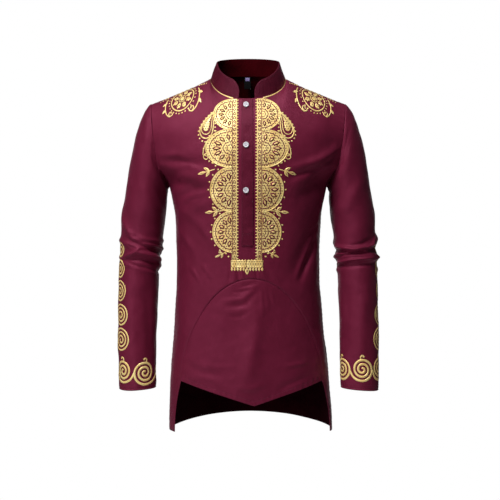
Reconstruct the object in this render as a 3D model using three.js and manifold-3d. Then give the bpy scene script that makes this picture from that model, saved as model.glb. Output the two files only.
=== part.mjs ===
// A long-sleeved stand-collar popover shirt in its worn, hollow form.
// Millimetres, +Z up, the front faces -Y and the wearer's left is +X.
// The origin lies midway between the two points where collar and shoulder seams meet.
import * as THREE from 'three';
import { mergeVertices } from 'three/addons/utils/BufferGeometryUtils.js';
import Module from 'manifold-3d';

const wasm = await Module();
wasm.setup();

// ---- driving dimensions -------------------------------------------------------------
const clothWall = 1.6;
const collarWall = 2.2;
const placketWall = 1.2;
const seamGap = 0.4;            // between the edges of two pieces that are sewn together
const armholeGap = 0.75;        // between an armhole and the sleeve head, along the arm
const layerGap = 0.5;           // between a piece and the panel it lies on
const collarGap = 0.8;          // between the neckline and the foot of the collar, up and inwards

const neckHalfWidth = 83;
const shoulderTip = { x: 213, z: -55 };
const shoulderDip = 3;          // how far the shoulder seam sags below a straight line
const frontNeck = { y: -74, z: -52 };
const backNeck = { y: 56, z: 14 };
const neckShare = 0.42;         // share of a panel's half width that the neckline takes at the top
const topLevel = -55;           // nominal level of a panel's top edge
const armpitLevel = -237;
const hemLevel = -768;
const backHemRise = 22;
const panelHalfGirth = 270;     // along the cloth, from the middle of a panel to its side seam
const foldFade = { side: 0.08, top: 30 };   // shares of the half width and levels over which folds die out

// The lower front: an arched seam above, a pointed hem below, between the two side strips.
const inset = {
  centreX: 7.5, halfWidth: 151, springZ: -655, rise: 217, fullness: 0.6,
  cornerZ: -656, tipX: 13, tipZ: -704,
};
const strips = { footRightX: -160, footLeftX: 178, bendZ: -705 };

const collar = { height: 38, frontX: 17.5, cornerRadius: 27, leanSide: 14, leanFront: 9, leanBack: 8 };
const placket = { width: 25, centreX: -1.5, topZ: -54, footZ: -368 };
const button = {
  radius: 6.5, thickness: 2.4, rimWidth: 1.5, dish: 0.7, edge: 0.65, holeRadius: 0.8, holeSpread: 1.55,
};
const buttonPlaces = { x: -3, heights: [-67, -155, -250] };
const label = { width: 15.5, height: 24, wall: 1, centreX: -1.5, stand: 1 };

// ---- colours ---------------------------------------------------------------------------
const finish = (color, roughness) => new THREE.MeshStandardMaterial({ color, roughness, metalness: 0 });
const wineCloth = finish(0x6b1f3a, 0.6);
const wineBand = finish(0x5f1a33, 0.6);
const pearl = finish(0xf3f1f2, 0.25);
const labelWeave = finish(0x101014, 0.7);

// ---- the panels' cross-sections ---------------------------------------------------------
// level: nominal height; edge: the side seam or armhole; middleX and centre: the middle of the panel;
// wrap: the angle through which each half of the section turns.
const frontSections = [
  { name: 'hem', level: hemLevel, middleX: 6, edgeX: 178.5, edgeY: 0, centreY: -121, wrap: 90 },
  { name: 'seat', level: -655, middleX: 3.5, edgeX: 174, edgeY: 0, centreY: -121, wrap: 90 },
  { name: 'belly', level: -545, middleX: 1.5, edgeX: 163.5, edgeY: 0, centreY: -114, wrap: 90 },
  { name: 'waist', level: -410, middleX: 0, edgeX: 156, edgeY: 0, centreY: -109, wrap: 90 },
  { name: 'ribs', level: -310, middleX: 0, edgeX: 159.5, edgeY: 0, centreY: -116, wrap: 90 },
  { name: 'armpit', level: armpitLevel, middleX: 0, edgeX: 172, edgeY: 0, centreY: -123, wrap: 90 },
  { name: 'chest', level: -190, middleX: 0, edgeX: 193, edgeY: -50, edgeZ: -193, centreY: -122, wrap: 62 },
  {
    name: 'yoke', level: -130, middleX: 0, edgeX: 204, edgeY: -56, edgeZ: -138,
    centreY: -109, centreZ: -126, wrap: 48,
  },
];
const backSections = [
  { name: 'hem', level: hemLevel, middleX: 6, edgeX: 178.5, edgeY: 0, centreY: 120, wrap: 90 },
  { name: 'seat', level: -640, middleX: 3.5, edgeX: 173, edgeY: 0, centreY: 120, wrap: 90 },
  { name: 'loin', level: -545, middleX: 1.5, edgeX: 163.5, edgeY: 0, centreY: 108, wrap: 90 },
  { name: 'waist', level: -410, middleX: 0, edgeX: 156, edgeY: 0, centreY: 93, wrap: 90 },
  { name: 'ribs', level: -310, middleX: 0, edgeX: 159.5, edgeY: 0, centreY: 105, wrap: 90 },
  { name: 'armpit', level: armpitLevel, middleX: 0, edgeX: 172, edgeY: 0, centreY: 115, wrap: 90 },
  {
    name: 'blade', level: -190, middleX: 0, edgeX: 191, edgeY: 46, edgeZ: -193,
    centreY: 118, centreZ: -184, wrap: 62,
  },
  {
    name: 'yoke', level: -130, middleX: 0, edgeX: 202, edgeY: 55, edgeZ: -138,
    centreY: 107, centreZ: -108, wrap: 48,
  },
];
const boxiness = 0.84;          // below 1 a section is squarer than an ellipse

// Soft ridges (depth above 0) and troughs (below 0) of the panels. x and z are places in front view.
const frontFolds = [
  { name: 'right armpit drag', fromX: -178, fromZ: -188, viaX: -130, viaZ: -196, toX: -84, toZ: -190, width: 13, depth: -5 },
  { name: 'right chest drag', fromX: -168, fromZ: -226, viaX: -120, viaZ: -222, toX: -62, toZ: -232, width: 14, depth: 4 },
  { name: 'left armpit drag', fromX: 190, fromZ: -170, viaX: 150, viaZ: -196, toX: 100, toZ: -240, width: 16, depth: 5 },
  { name: 'left armpit hollow', fromX: 178, fromZ: -208, viaX: 150, viaZ: -226, toX: 112, toZ: -266, width: 15, depth: -6 },
  { name: 'right waist drag', fromX: -150, fromZ: -306, viaX: -108, viaZ: -284, toX: -62, toZ: -268, width: 14, depth: 4 },
  { name: 'left waist hollow', fromX: 150, fromZ: -330, viaX: 122, viaZ: -380, toX: 100, toZ: -430, width: 18, depth: -6 },
  { name: 'middle pleat', fromX: 22, fromZ: -470, viaX: 14, viaZ: -570, toX: 8, toZ: -680, width: 26, depth: 5 },
];
const backFolds = [
  { name: 'right blade drag', fromX: -182, fromZ: -190, viaX: -130, viaZ: -206, toX: -84, toZ: -238, width: 16, depth: -5 },
  { name: 'left blade drag', fromX: 182, fromZ: -190, viaX: 132, viaZ: -210, toX: 90, toZ: -246, width: 17, depth: -5 },
  { name: 'upper loin fold', fromX: -84, fromZ: -332, viaX: 10, viaZ: -344, toX: 108, toZ: -330, width: 15, depth: 5 },
  { name: 'loin hollow', fromX: -112, fromZ: -366, viaX: -10, viaZ: -376, toX: 84, toZ: -362, width: 13, depth: -5 },
  { name: 'loin fold', fromX: -70, fromZ: -404, viaX: 20, viaZ: -410, toX: 96, toZ: -396, width: 15, depth: 4.5 },
  { name: 'right seat fold', fromX: -54, fromZ: -480, viaX: -66, viaZ: -600, toX: -88, toZ: -730, width: 24, depth: 6 },
  { name: 'left seat fold', fromX: 74, fromZ: -500, viaX: 86, viaZ: -620, toX: 98, toZ: -735, width: 23, depth: 5 },
];

// Rings of the sleeve below its head; tilt turns the outer side up, halfX and halfY are half widths.
const sleeveRings = [
  { name: 'deltoid', run: 85, x: 212, y: 3, z: -186, halfX: 73, halfY: 63, tilt: 62 },
  { name: 'underarm', run: 165, x: 224, y: 5, z: -262, halfX: 50.5, halfY: 61, tilt: 28 },
  { name: 'biceps', run: 225, x: 232, y: 6, z: -320, halfX: 47, halfY: 59, tilt: 9 },
  { name: 'elbow', run: 290, x: 237.5, y: 5, z: -385, halfX: 45, halfY: 56, tilt: 2 },
  { name: 'forearm', run: 350, x: 240.5, y: -2, z: -445, halfX: 43.5, halfY: 52, tilt: 0 },
  { name: 'mid forearm', run: 450, x: 242, y: -17, z: -545, halfX: 42.5, halfY: 45, tilt: 0 },
  { name: 'cuff', run: 580, x: 241.8, y: -36, z: -677, halfX: 41.5, halfY: 38, tilt: -4 },
];
const headTop = 75;             // how far the sleeve head keeps the armhole's direction over the shoulder
const headFoot = 20;            // and at the armpit

// Elbow creases. a is the angle round the arm: 0 the outer side, 90 the front, 180 the inner side.
const rightSleeveFolds = [
  { name: 'upper roll', fromA: 24, fromZ: -306, viaA: 74, viaZ: -351, toA: 184, toZ: -368, width: 7, depth: 5 },
  { name: 'upper pinch', fromA: 60, fromZ: -352, viaA: 100, viaZ: -367, toA: 176, toZ: -378, width: 5, depth: -4 },
  { name: 'middle roll', fromA: 8, fromZ: -352, viaA: 84, viaZ: -371, toA: 120, toZ: -368, width: 6, depth: 4 },
  { name: 'cross roll', fromA: 48, fromZ: -390, viaA: 88, viaZ: -378, toA: 184, toZ: -400, width: 6.5, depth: 4.5 },
  { name: 'lower pinch', fromA: 40, fromZ: -400, viaA: 80, viaZ: -394, toA: 150, toZ: -404, width: 5, depth: -3.5 },
  { name: 'lower roll', fromA: -6, fromZ: -392, viaA: 60, viaZ: -404, toA: 150, toZ: -424, width: 8, depth: 3.5 },
  { name: 'back roll', fromA: 196, fromZ: -380, viaA: 262, viaZ: -366, toA: 334, toZ: -352, width: 9, depth: 4 },
  { name: 'lower back roll', fromA: 200, fromZ: -408, viaA: 268, viaZ: -402, toA: 338, toZ: -388, width: 9, depth: 4 },
];
const leftSleeveFolds = [
  { name: 'upper roll', fromA: 186, fromZ: -362, viaA: 104, viaZ: -374, toA: 36, toZ: -364, width: 6.5, depth: 5.5 },
  { name: 'outer bulge', fromA: 40, fromZ: -366, viaA: 6, viaZ: -350, toA: -40, toZ: -338, width: 9, depth: 5 },
  { name: 'upper pinch', fromA: 170, fromZ: -379, viaA: 110, viaZ: -383, toA: 30, toZ: -376, width: 5, depth: -4.5 },
  { name: 'middle roll', fromA: 182, fromZ: -391, viaA: 96, viaZ: -384, toA: -4, toZ: -391, width: 5.5, depth: 4 },
  { name: 'lower roll', fromA: 160, fromZ: -406, viaA: 84, viaZ: -398, toA: -2, toZ: -394, width: 6, depth: 4 },
  { name: 'lower pinch', fromA: 160, fromZ: -413, viaA: 90, viaZ: -408, toA: 20, toZ: -402, width: 5, depth: -3.5 },
  { name: 'back roll', fromA: 196, fromZ: -372, viaA: 258, viaZ: -362, toA: 330, toZ: -346, width: 9, depth: 4 },
  { name: 'lower back roll', fromA: 198, fromZ: -400, viaA: 262, viaZ: -396, toA: 336, toZ: -382, width: 9, depth: 4 },
];
const armRadius = 50;           // turns an angle round the arm into a distance

// ---- small helpers ---------------------------------------------------------------------------
const radians = THREE.MathUtils.degToRad;
const mix = THREE.MathUtils.lerp;
const { clamp } = THREE.MathUtils;
const vector = (x, y, z) => new THREE.Vector3(x, y, z);
const steps = (from, to, count) => Array.from({ length: count + 1 }, (_, i) => mix(from, to, i / count));
const joined = (...runs) => runs.flatMap((run, i) => (i ? run.slice(1) : run));

// Height of a fold: a bell across its two-legged path, a taper towards its ends.
function foldHeight(fold, place, from, via, to) {
  const firstLeg = from.distanceTo(via);
  const whole = firstLeg + via.distanceTo(to);
  const legs = [[from, via, 0, firstLeg / whole], [via, to, firstLeg / whole, 1]];
  const nearest = legs.map(([a, b, start, end]) => {
    const leg = b.clone().sub(a);
    const share = clamp(place.clone().sub(a).dot(leg) / leg.lengthSq(), 0, 1);
    return { away: place.distanceTo(a.clone().addScaledVector(leg, share)), along: mix(start, end, share) };
  }).reduce((best, leg) => (leg.away < best.away ? leg : best));
  const taper = Math.sin(Math.PI * mix(0.1, 0.9, nearest.along));
  return fold.depth * taper * Math.exp(-((nearest.away / fold.width) ** 2));
}

// A smooth line through given points, each with its own parameter; the two end slopes may be given.
// Between two points no coordinate leaves their range: its slope is the harmonic mean of two chords.
function smoothLine(knots, points, value, startSlope, endSlope) {
  const last = knots.length - 1;
  const chord = (i) => points[i + 1].clone().sub(points[i]).divideScalar(knots[i + 1] - knots[i]);
  const harmonic = (a, b) => (a * b > 0 ? 2 * a * b / (a + b) : 0);
  const slope = (i) => {
    if (i === 0) return startSlope ? startSlope(chord(0)) : chord(0);
    if (i === last) return endSlope ? endSlope(chord(last - 1)) : chord(last - 1);
    const [before, after] = [chord(i - 1), chord(i)];
    return vector(harmonic(before.x, after.x), harmonic(before.y, after.y), harmonic(before.z, after.z));
  };
  let k = 0;
  while (k < last - 1 && value > knots[k + 1]) k += 1;
  const span = knots[k + 1] - knots[k];
  const t = (value - knots[k]) / span;
  const point = points[k].clone().multiplyScalar(2 * t ** 3 - 3 * t ** 2 + 1);
  point.addScaledVector(slope(k), (t ** 3 - 2 * t ** 2 + t) * span);
  point.addScaledVector(points[k + 1], 3 * t ** 2 - 2 * t ** 3);
  return point.addScaledVector(slope(k + 1), (t ** 3 - t ** 2) * span);
}

// ---- torso surface -----------------------------------------------------------------------------
// One point of a cross-section: share runs from -1 at the wearer's right edge to 1 at the left edge.
function sectionPoint(section, share) {
  const half = radians(section.wrap);
  const rise = (angle) => 1 - Math.max(Math.cos(angle), 0) ** boxiness;
  const bend = rise(half * share) / rise(half);
  return vector(
    section.middleX + section.edgeX * Math.sin(half * share) / Math.sin(half),
    mix(section.centreY, section.edgeY, bend),
    mix(section.centreZ ?? section.level, section.edgeZ ?? section.level, bend),
  );
}

// The top of a panel: the shoulder seam outside the neck share, the neckline inside it.
function topPoint(share, neck) {
  const size = Math.abs(share);
  const side = Math.sign(share);
  if (size >= neckShare) {
    const run = (size - neckShare) / (1 - neckShare);
    const sag = shoulderDip * Math.sin(Math.PI * run);
    return vector(side * mix(neckHalfWidth, shoulderTip.x, run), 0, mix(0, shoulderTip.z, run) - sag);
  }
  const angle = Math.PI / 2 * size / neckShare;
  return vector(side * neckHalfWidth * Math.sin(angle), neck.y * Math.cos(angle), neck.z * Math.cos(angle));
}

// The direction in which a panel arrives at its top: level over the shoulder, steep below the collar.
function topDirection(share, neck) {
  const steep = Math.max(Math.cos(Math.PI / 2 * Math.min(Math.abs(share) / neckShare, 1)), 0) ** 0.85;
  const overShoulder = -Math.sign(neck.y);
  return vector(0, overShoulder * mix(1, 0.45, steep), mix(0.06, 0.9, steep));
}

function smoothPanel(sections, neck, share, level) {
  const knots = [...sections.map((s) => s.level), topLevel];
  const points = [...sections.map((s) => sectionPoint(s, share)), topPoint(share, neck)];
  const arrive = (chord) => topDirection(share, neck).multiplyScalar(chord.length() * 1.1);
  return smoothLine(knots, points, level, undefined, arrive);
}

// The same surface with its folds, which fade out towards the side and shoulder seams.
function panelPoint(sections, neck, folds, share, level) {
  const point = smoothPanel(sections, neck, share, level);
  const place = new THREE.Vector2(point.x, point.z);
  const spot = (x, z) => new THREE.Vector2(x, z);
  const height = folds.reduce((sum, f) => sum + foldHeight(
    f, place, spot(f.fromX, f.fromZ), spot(f.viaX, f.viaZ), spot(f.toX, f.toZ)), 0);
  const fade = clamp((1 - Math.abs(share)) / foldFade.side, 0, 1) * clamp((topLevel - level) / foldFade.top, 0, 1);
  const outward = vector(point.x * 0.4, Math.sign(neck.y) * 100, 0).normalize();
  return point.addScaledVector(outward, height * fade);
}

const frontPoint = (share, level) => panelPoint(frontSections, frontNeck, frontFolds, share, level);
const backPoint = (share, level) => panelPoint(backSections, backNeck, backFolds, share, level);

// ---- sheets and walls ------------------------------------------------------------------------
// A sheet is a net of quads over two lists of parameters; rows may also be functions of the column.
// Each corner carries its outer point and its outward normal.
function net(surface, columns, rows, outward) {
  const nudge = { column: 1e-3, row: 0.1 };
  const corners = rows.flatMap((row) => columns.map((u) => {
    const v = typeof row === 'function' ? row(u) : row;
    const across = surface(u + nudge.column, v).sub(surface(u - nudge.column, v));
    const along = surface(u, v + nudge.row).sub(surface(u, v - nudge.row));
    return { point: surface(u, v), normal: across.cross(along).normalize().multiplyScalar(outward) };
  }));
  const wide = columns.length;
  const quads = [];
  for (let j = 0; j < rows.length - 1; j += 1) {
    for (let i = 0; i < wide - 1; i += 1) {
      const quad = [j * wide + i, j * wide + i + 1, (j + 1) * wide + i + 1, (j + 1) * wide + i];
      quads.push(outward > 0 ? quad : quad.reverse());
    }
  }
  return { corners, quads };
}

// A net whose first and last columns meet becomes a tube.
function tube(sheet, wide) {
  const index = (i) => (i % wide === wide - 1 ? i - wide + 1 : i);
  return { corners: sheet.corners, quads: sheet.quads.map((quad) => quad.map(index)) };
}

// The closed wall of a sheet: the outer side, the inner side moved in by the wall, and its edges.
function wallGeometry(sheet, wall, lift = 0) {
  const count = sheet.corners.length;
  const place = (corner, depth) => corner.point.clone().addScaledVector(corner.normal, depth).toArray();
  const positions = [
    ...sheet.corners.flatMap((c) => place(c, lift)),
    ...sheet.corners.flatMap((c) => place(c, lift - wall)),
  ];
  const faces = [];
  const edges = new Map();
  for (const [a, b, c, d] of sheet.quads) {
    faces.push(a, b, c, a, c, d);
    faces.push(count + a, count + c, count + b, count + a, count + d, count + c);
    for (const [from, to] of [[a, b], [b, c], [c, d], [d, a]]) {
      if (edges.has(`${to},${from}`)) edges.delete(`${to},${from}`);
      else edges.set(`${from},${to}`, [from, to]);
    }
  }
  for (const [a, b] of edges.values()) faces.push(a, count + a, b, b, count + a, count + b);
  const geometry = new THREE.BufferGeometry();
  geometry.setAttribute('position', new THREE.Float32BufferAttribute(positions, 3));
  geometry.setIndex(faces);
  return geometry;
}

function solidFrom(geometry) {
  const bare = geometry.clone();
  bare.deleteAttribute('normal');
  bare.deleteAttribute('uv');
  const merged = mergeVertices(bare, 1e-4);
  return new wasm.Manifold(new wasm.Mesh({
    numProp: 3,
    vertProperties: new Float32Array(merged.attributes.position.array),
    triVerts: new Uint32Array(merged.index.array),
  }));
}

function geometryFrom(solid) {
  const mesh = solid.getMesh();
  const geometry = new THREE.BufferGeometry();
  geometry.setAttribute('position', new THREE.BufferAttribute(new Float32Array(mesh.vertProperties), 3));
  geometry.setIndex(new THREE.BufferAttribute(new Uint32Array(mesh.triVerts), 1));
  return geometry;
}

function piece(name, geometry, material) {
  geometry.computeVertexNormals();
  const mesh = new THREE.Mesh(geometry, material);
  mesh.name = name;
  return mesh;
}

// ---- front, lower front and back -----------------------------------------------------------------
const edgeShare = 1 - seamGap / 2 / panelHalfGirth;
const armholeLevels = joined(steps(armpitLevel, -130, 5), steps(-130, topLevel - 0.2, 6));
const panelColumns = joined(
  steps(-edgeShare, -neckShare, 7), steps(-neckShare, neckShare, 14), steps(neckShare, edgeShare, 7),
);

// A body cut through the front panel along an outline drawn in front view.
function frontCutter(outline) {
  const depth = 220;
  const cutter = new THREE.ExtrudeGeometry(outline, { depth, bevelEnabled: false, curveSegments: 6 });
  return solidFrom(cutter.rotateX(Math.PI / 2));
}

// The arch from the wearer's right spring to the left one, grown or shrunk by a margin.
function archPoints(margin) {
  return steps(0, 180, 30).map((angle) => new THREE.Vector2(
    inset.centreX - (inset.halfWidth + margin) * Math.cos(radians(angle)),
    inset.springZ + (inset.rise + margin) * Math.sin(radians(angle)) ** (2 * inset.fullness),
  ));
}

function lowerFrontOutline() {
  const outline = new THREE.Shape(archPoints(-seamGap / 2));
  outline.lineTo(inset.centreX + inset.halfWidth - seamGap / 2, inset.cornerZ);
  outline.lineTo(inset.tipX, inset.tipZ);
  outline.lineTo(inset.centreX - inset.halfWidth + seamGap / 2, inset.cornerZ);
  return outline;
}

// Everything that the front panel leaves open: the lower front's place and the gap between the strips.
function frontOpeningOutline() {
  const outline = new THREE.Shape(archPoints(seamGap / 2));
  const below = hemLevel - 20;
  outline.quadraticCurveTo(strips.footLeftX, strips.bendZ, strips.footLeftX, below);
  outline.lineTo(strips.footRightX, below);
  outline.quadraticCurveTo(
    strips.footRightX, strips.bendZ, inset.centreX - inset.halfWidth - seamGap / 2, inset.springZ);
  return outline;
}

function frontPieces() {
  const rows = joined(steps(hemLevel, armpitLevel, 20), armholeLevels);
  const wall = solidFrom(wallGeometry(net(frontPoint, panelColumns, rows, 1), clothWall));
  return {
    frontBody: geometryFrom(wall.subtract(frontCutter(frontOpeningOutline()))),
    lowerFront: geometryFrom(wall.intersect(frontCutter(lowerFrontOutline()))),
  };
}

function backBody() {
  const hem = (share) => hemLevel + backHemRise * Math.cos(Math.PI / 2 * share) ** 2;
  const lowerRows = steps(0, 1, 19).slice(0, -1).map((part) => (share) => mix(hem(share), armpitLevel, part));
  return wallGeometry(net(backPoint, panelColumns, [...lowerRows, ...armholeLevels], -1), clothWall);
}

// ---- sleeves ----------------------------------------------------------------------------------------
const armholeTurns = 2 * (armholeLevels.length - 1);
const armholeAxis = vector(0.976, 0, -0.217);

// The armhole seam, from the shoulder at 0 by the front and the armpit at 180 to the back.
function armholePoint(angle) {
  const turn = ((angle % 360) + 360) % 360;
  const front = turn <= 180;
  const place = Math.abs(180 - turn) / 180 * (armholeLevels.length - 1);
  const k = Math.min(Math.floor(place), armholeLevels.length - 2);
  const level = mix(armholeLevels[k], armholeLevels[k + 1], place - k);
  return smoothPanel(front ? frontSections : backSections, front ? frontNeck : backNeck, 1, level);
}

function ringPoint(ring, angle) {
  const tilt = radians(ring.tilt);
  const out = ring.halfX * Math.cos(radians(angle));
  const ahead = ring.halfY * Math.sin(radians(angle));
  return vector(ring.x + out * Math.cos(tilt), ring.y - ahead, ring.z + out * Math.sin(tilt));
}

// A sleeve on the wearer's left: for each angle a smooth line runs from the armhole to the cuff.
function sleevePoint(folds, angle, run) {
  const knots = [0, ...sleeveRings.map((r) => r.run)];
  const start = armholePoint(angle).addScaledVector(armholeAxis, armholeGap);
  const points = [start, ...sleeveRings.map((r) => ringPoint(r, angle))];
  const head = mix(headFoot, headTop, (1 + Math.cos(radians(angle))) / 2) / knots[1];
  const leave = (chord) => chord.addScaledVector(armholeAxis, head).multiplyScalar(0.5);
  const point = smoothLine(knots, points, run, leave);
  const turn = (((angle + 60) % 360) + 360) % 360 - 60;
  const spot = (a, z) => new THREE.Vector2(radians(a) * armRadius, z);
  const height = folds.reduce((sum, f) => sum + foldHeight(
    f, spot(turn, point.z), spot(f.fromA, f.fromZ), spot(f.viaA, f.viaZ), spot(f.toA, f.toZ)), 0);
  return point.addScaledVector(vector(Math.cos(radians(angle)), -Math.sin(radians(angle)), 0), height);
}

function sleeveSheet(folds) {
  const angles = steps(0, 360, armholeTurns);
  const runs = joined(steps(0, 165, 6), steps(165, 215, 2), steps(215, 335, 18), steps(335, 580, 6));
  const surface = (angle, run) => sleevePoint(folds, angle, run);
  return tube(net(surface, angles, runs, 1), angles.length);
}

function mirrored(sheet) {
  const flip = (v) => vector(-v.x, v.y, v.z);
  return {
    corners: sheet.corners.map((c) => ({ point: flip(c.point), normal: flip(c.normal) })),
    quads: sheet.quads.map((quad) => [...quad].reverse()),
  };
}

// ---- collar ----------------------------------------------------------------------------------------
// Turn 0 is the middle of the back, 180 and -180 the middle of the front.
const collarEnd = 180 - THREE.MathUtils.radToDeg(Math.asin(collar.frontX / neckHalfWidth));

function collarPoint(turn, share) {
  const side = Math.sin(radians(turn));
  const depth = Math.abs(Math.cos(radians(turn)));
  const front = Math.abs(turn) > 90;
  const neck = front ? frontNeck : backNeck;
  const lean = front ? collar.leanFront : collar.leanBack;
  return vector(
    side * (neckHalfWidth - collar.leanSide * share),
    depth * (neck.y - Math.sign(neck.y) * lean * share),
    depth * neck.z + collar.height * share + collarGap,
  );
}

// The band's top edge runs down in a quarter round at each of its two front ends.
function collarTopShare(turn) {
  const fromEnd = radians(collarEnd - Math.abs(turn)) * neckHalfWidth;
  const short = Math.max(collar.cornerRadius - fromEnd, 0);
  const drop = collar.cornerRadius - Math.sqrt(collar.cornerRadius ** 2 - short ** 2);
  return 1 - drop / collar.height;
}

function collarBand() {
  const rounding = [0, 2, 5, 9, 14].map((turn) => collarEnd - turn);
  const turns = joined(rounding.map((t) => -t), steps(-(collarEnd - 14), collarEnd - 14, 28), [...rounding].reverse());
  const rows = steps(0, 1, 4).map((part) => (turn) => part * collarTopShare(turn));
  const band = net(collarPoint, turns, rows, -1);
  band.corners.forEach((corner) => corner.normal.setZ(0).normalize());   // so that foot and rim are level
  return band;
}

// ---- placket, buttons, label ------------------------------------------------------------------------
// The value between low and high at which a rising measure reaches its goal, found by halving.
function solve(measure, goal, low, high) {
  let [from, to] = [low, high];
  for (let i = 0; i < 40; i += 1) {
    const middle = (from + to) / 2;
    if (measure(middle) < goal) from = middle;
    else to = middle;
  }
  return (from + to) / 2;
}

const frontShareAt = (x, level) => solve((share) => frontPoint(share, level).x, x, -1, 1);
const frontLevelAt = (z) => solve((level) => frontPoint(0, level).z, z, hemLevel, topLevel);

function placketStrip() {
  const surface = (x, level) => frontPoint(frontShareAt(x, level), level);
  const columns = steps(placket.centreX - placket.width / 2, placket.centreX + placket.width / 2, 2);
  return net(surface, columns, steps(frontLevelAt(placket.footZ), frontLevelAt(placket.topZ), 20), 1);
}

// A dished shirt button with four holes; its axis is Y before it is turned onto the placket.
function buttonGeometry() {
  const { radius, thickness, rimWidth, dish, edge, holeRadius, holeSpread } = button;
  const profile = [
    [0, 0], [radius - edge, 0], [radius, edge], [radius, thickness - edge], [radius - edge, thickness],
    [radius - rimWidth, thickness], [radius - rimWidth - edge, thickness - dish], [0, thickness - dish],
  ].map(([r, h]) => new THREE.Vector2(r, h));
  let body = solidFrom(new THREE.LatheGeometry(profile, 20));
  for (const [x, z] of [[1, 1], [1, -1], [-1, 1], [-1, -1]]) {
    const drill = new THREE.CylinderGeometry(holeRadius, holeRadius, thickness * 3, 6);
    drill.translate(x * holeSpread, 0, z * holeSpread);
    body = body.subtract(solidFrom(drill));
  }
  return geometryFrom(body);
}

function placeButton(mesh, height) {
  const level = frontLevelAt(height);
  const share = frontShareAt(buttonPlaces.x, level);
  const across = frontPoint(share + 0.02, level).sub(frontPoint(share - 0.02, level));
  const up = frontPoint(share, level + 4).sub(frontPoint(share, level - 4));
  const normal = across.cross(up).normalize();
  mesh.quaternion.setFromUnitVectors(vector(0, 1, 0), normal);
  mesh.position.copy(frontPoint(share, level));
  mesh.position.addScaledVector(normal, layerGap + placketWall + layerGap);
}

// The label hangs from the collar seam, just inside the back.
function neckLabel() {
  const { width, height, centreX, stand } = label;
  const surface = (x, drop) => {
    const angle = Math.asin((centreX + x) / neckHalfWidth);
    const y = backNeck.y * Math.cos(angle) - collarWall - stand;
    return vector(centreX + x, y, backNeck.z * Math.cos(angle) - drop);
  };
  return net(surface, steps(-width / 2, width / 2, 2), steps(0, height, 3), 1);
}

// ---- assembly -----------------------------------------------------------------------------------------
const shirt = new THREE.Group();
const { frontBody, lowerFront } = frontPieces();
shirt.add(piece('front_body', frontBody, wineCloth));
shirt.add(piece('lower_front', lowerFront, wineCloth));
shirt.add(piece('back_body', backBody(), wineCloth));
shirt.add(piece('sleeve_left', wallGeometry(sleeveSheet(leftSleeveFolds), clothWall), wineCloth));
shirt.add(piece('sleeve_right', wallGeometry(mirrored(sleeveSheet(rightSleeveFolds)), clothWall), wineCloth));
shirt.add(piece('collar_stand', wallGeometry(collarBand(), collarWall, -collarGap), wineBand));
shirt.add(piece('placket', wallGeometry(placketStrip(), placketWall, layerGap + placketWall), wineBand));
buttonPlaces.heights.forEach((height, i) => {
  const mesh = piece(`button_${i + 1}`, buttonGeometry(), pearl);
  placeButton(mesh, height);
  shirt.add(mesh);
});
shirt.add(piece('neck_label', wallGeometry(neckLabel(), label.wall), labelWeave));

export default shirt;
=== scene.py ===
# A long-sleeved stand-collar popover shirt in its worn, hollow form, with no wearer.
# Blender works in metres, +Z up; the front faces -Y and the wearer's left is +X.
# Shapes are worked out in millimetres as whole arrays, and scaled once, when a mesh is made.
import math

import bpy
import numpy as np
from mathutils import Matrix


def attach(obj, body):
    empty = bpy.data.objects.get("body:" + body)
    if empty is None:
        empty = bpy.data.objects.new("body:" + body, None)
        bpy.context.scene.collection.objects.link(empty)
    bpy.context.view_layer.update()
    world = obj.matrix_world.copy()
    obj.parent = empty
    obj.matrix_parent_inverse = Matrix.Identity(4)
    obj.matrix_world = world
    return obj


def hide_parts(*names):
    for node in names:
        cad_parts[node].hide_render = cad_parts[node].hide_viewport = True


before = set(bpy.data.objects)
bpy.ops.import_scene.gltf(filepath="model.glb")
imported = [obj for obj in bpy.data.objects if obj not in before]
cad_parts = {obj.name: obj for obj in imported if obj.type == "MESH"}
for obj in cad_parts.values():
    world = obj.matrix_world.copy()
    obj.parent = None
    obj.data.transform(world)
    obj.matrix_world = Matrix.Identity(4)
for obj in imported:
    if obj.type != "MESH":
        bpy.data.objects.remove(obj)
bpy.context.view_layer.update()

millimetre = 0.001
print("frame loaded:", ", ".join(sorted(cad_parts)))


# Small helpers
def mix(a, b, share):
    return a + (b - a) * share


def unit(vectors):
    return vectors / np.maximum(np.linalg.norm(vectors, axis=-1, keepdims=True), 1e-12)


def direction(bearing):
    return np.array([math.cos(bearing), math.sin(bearing)])


def bell(distance, width):
    return np.exp(-(distance / width) ** 2)


def stacked(*parts):
    return np.stack(np.broadcast_arrays(*parts), -1)


def between(places, low, high):
    # True from low to high.
    return (places >= low) & (places <= high)


def unevenness(u, v, seed, wavelength, height):
    # The sum of nine sine waves with seeded directions and phases, whose wavelengths lie within about a third
    # of the given one.
    rng = np.random.default_rng(seed)
    total = 0
    for _ in range(9):
        turn = rng.uniform(0, 2 * math.pi)
        wave = 2 * math.pi / (wavelength * rng.uniform(0.7, 1.4))
        phase = rng.uniform(0, 2 * math.pi)
        total = total + np.sin((u * math.cos(turn) + v * math.sin(turn)) * wave + phase)
    return total * height / 3


def edgeRound(distance, radius):
    # Height share of a quarter-round edge: 0 at the edge, 1 from the radius inwards.
    return np.sqrt(np.maximum(1 - (1 - np.clip(distance / radius, 0, 1)) ** 2, 0))


def edgeSteps(count, fine):
    # Shares 0..1 with smaller steps near both ends.
    t = np.linspace(0, 1, count)
    return t - fine * np.sin(2 * math.pi * t) / (2 * math.pi)


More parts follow.
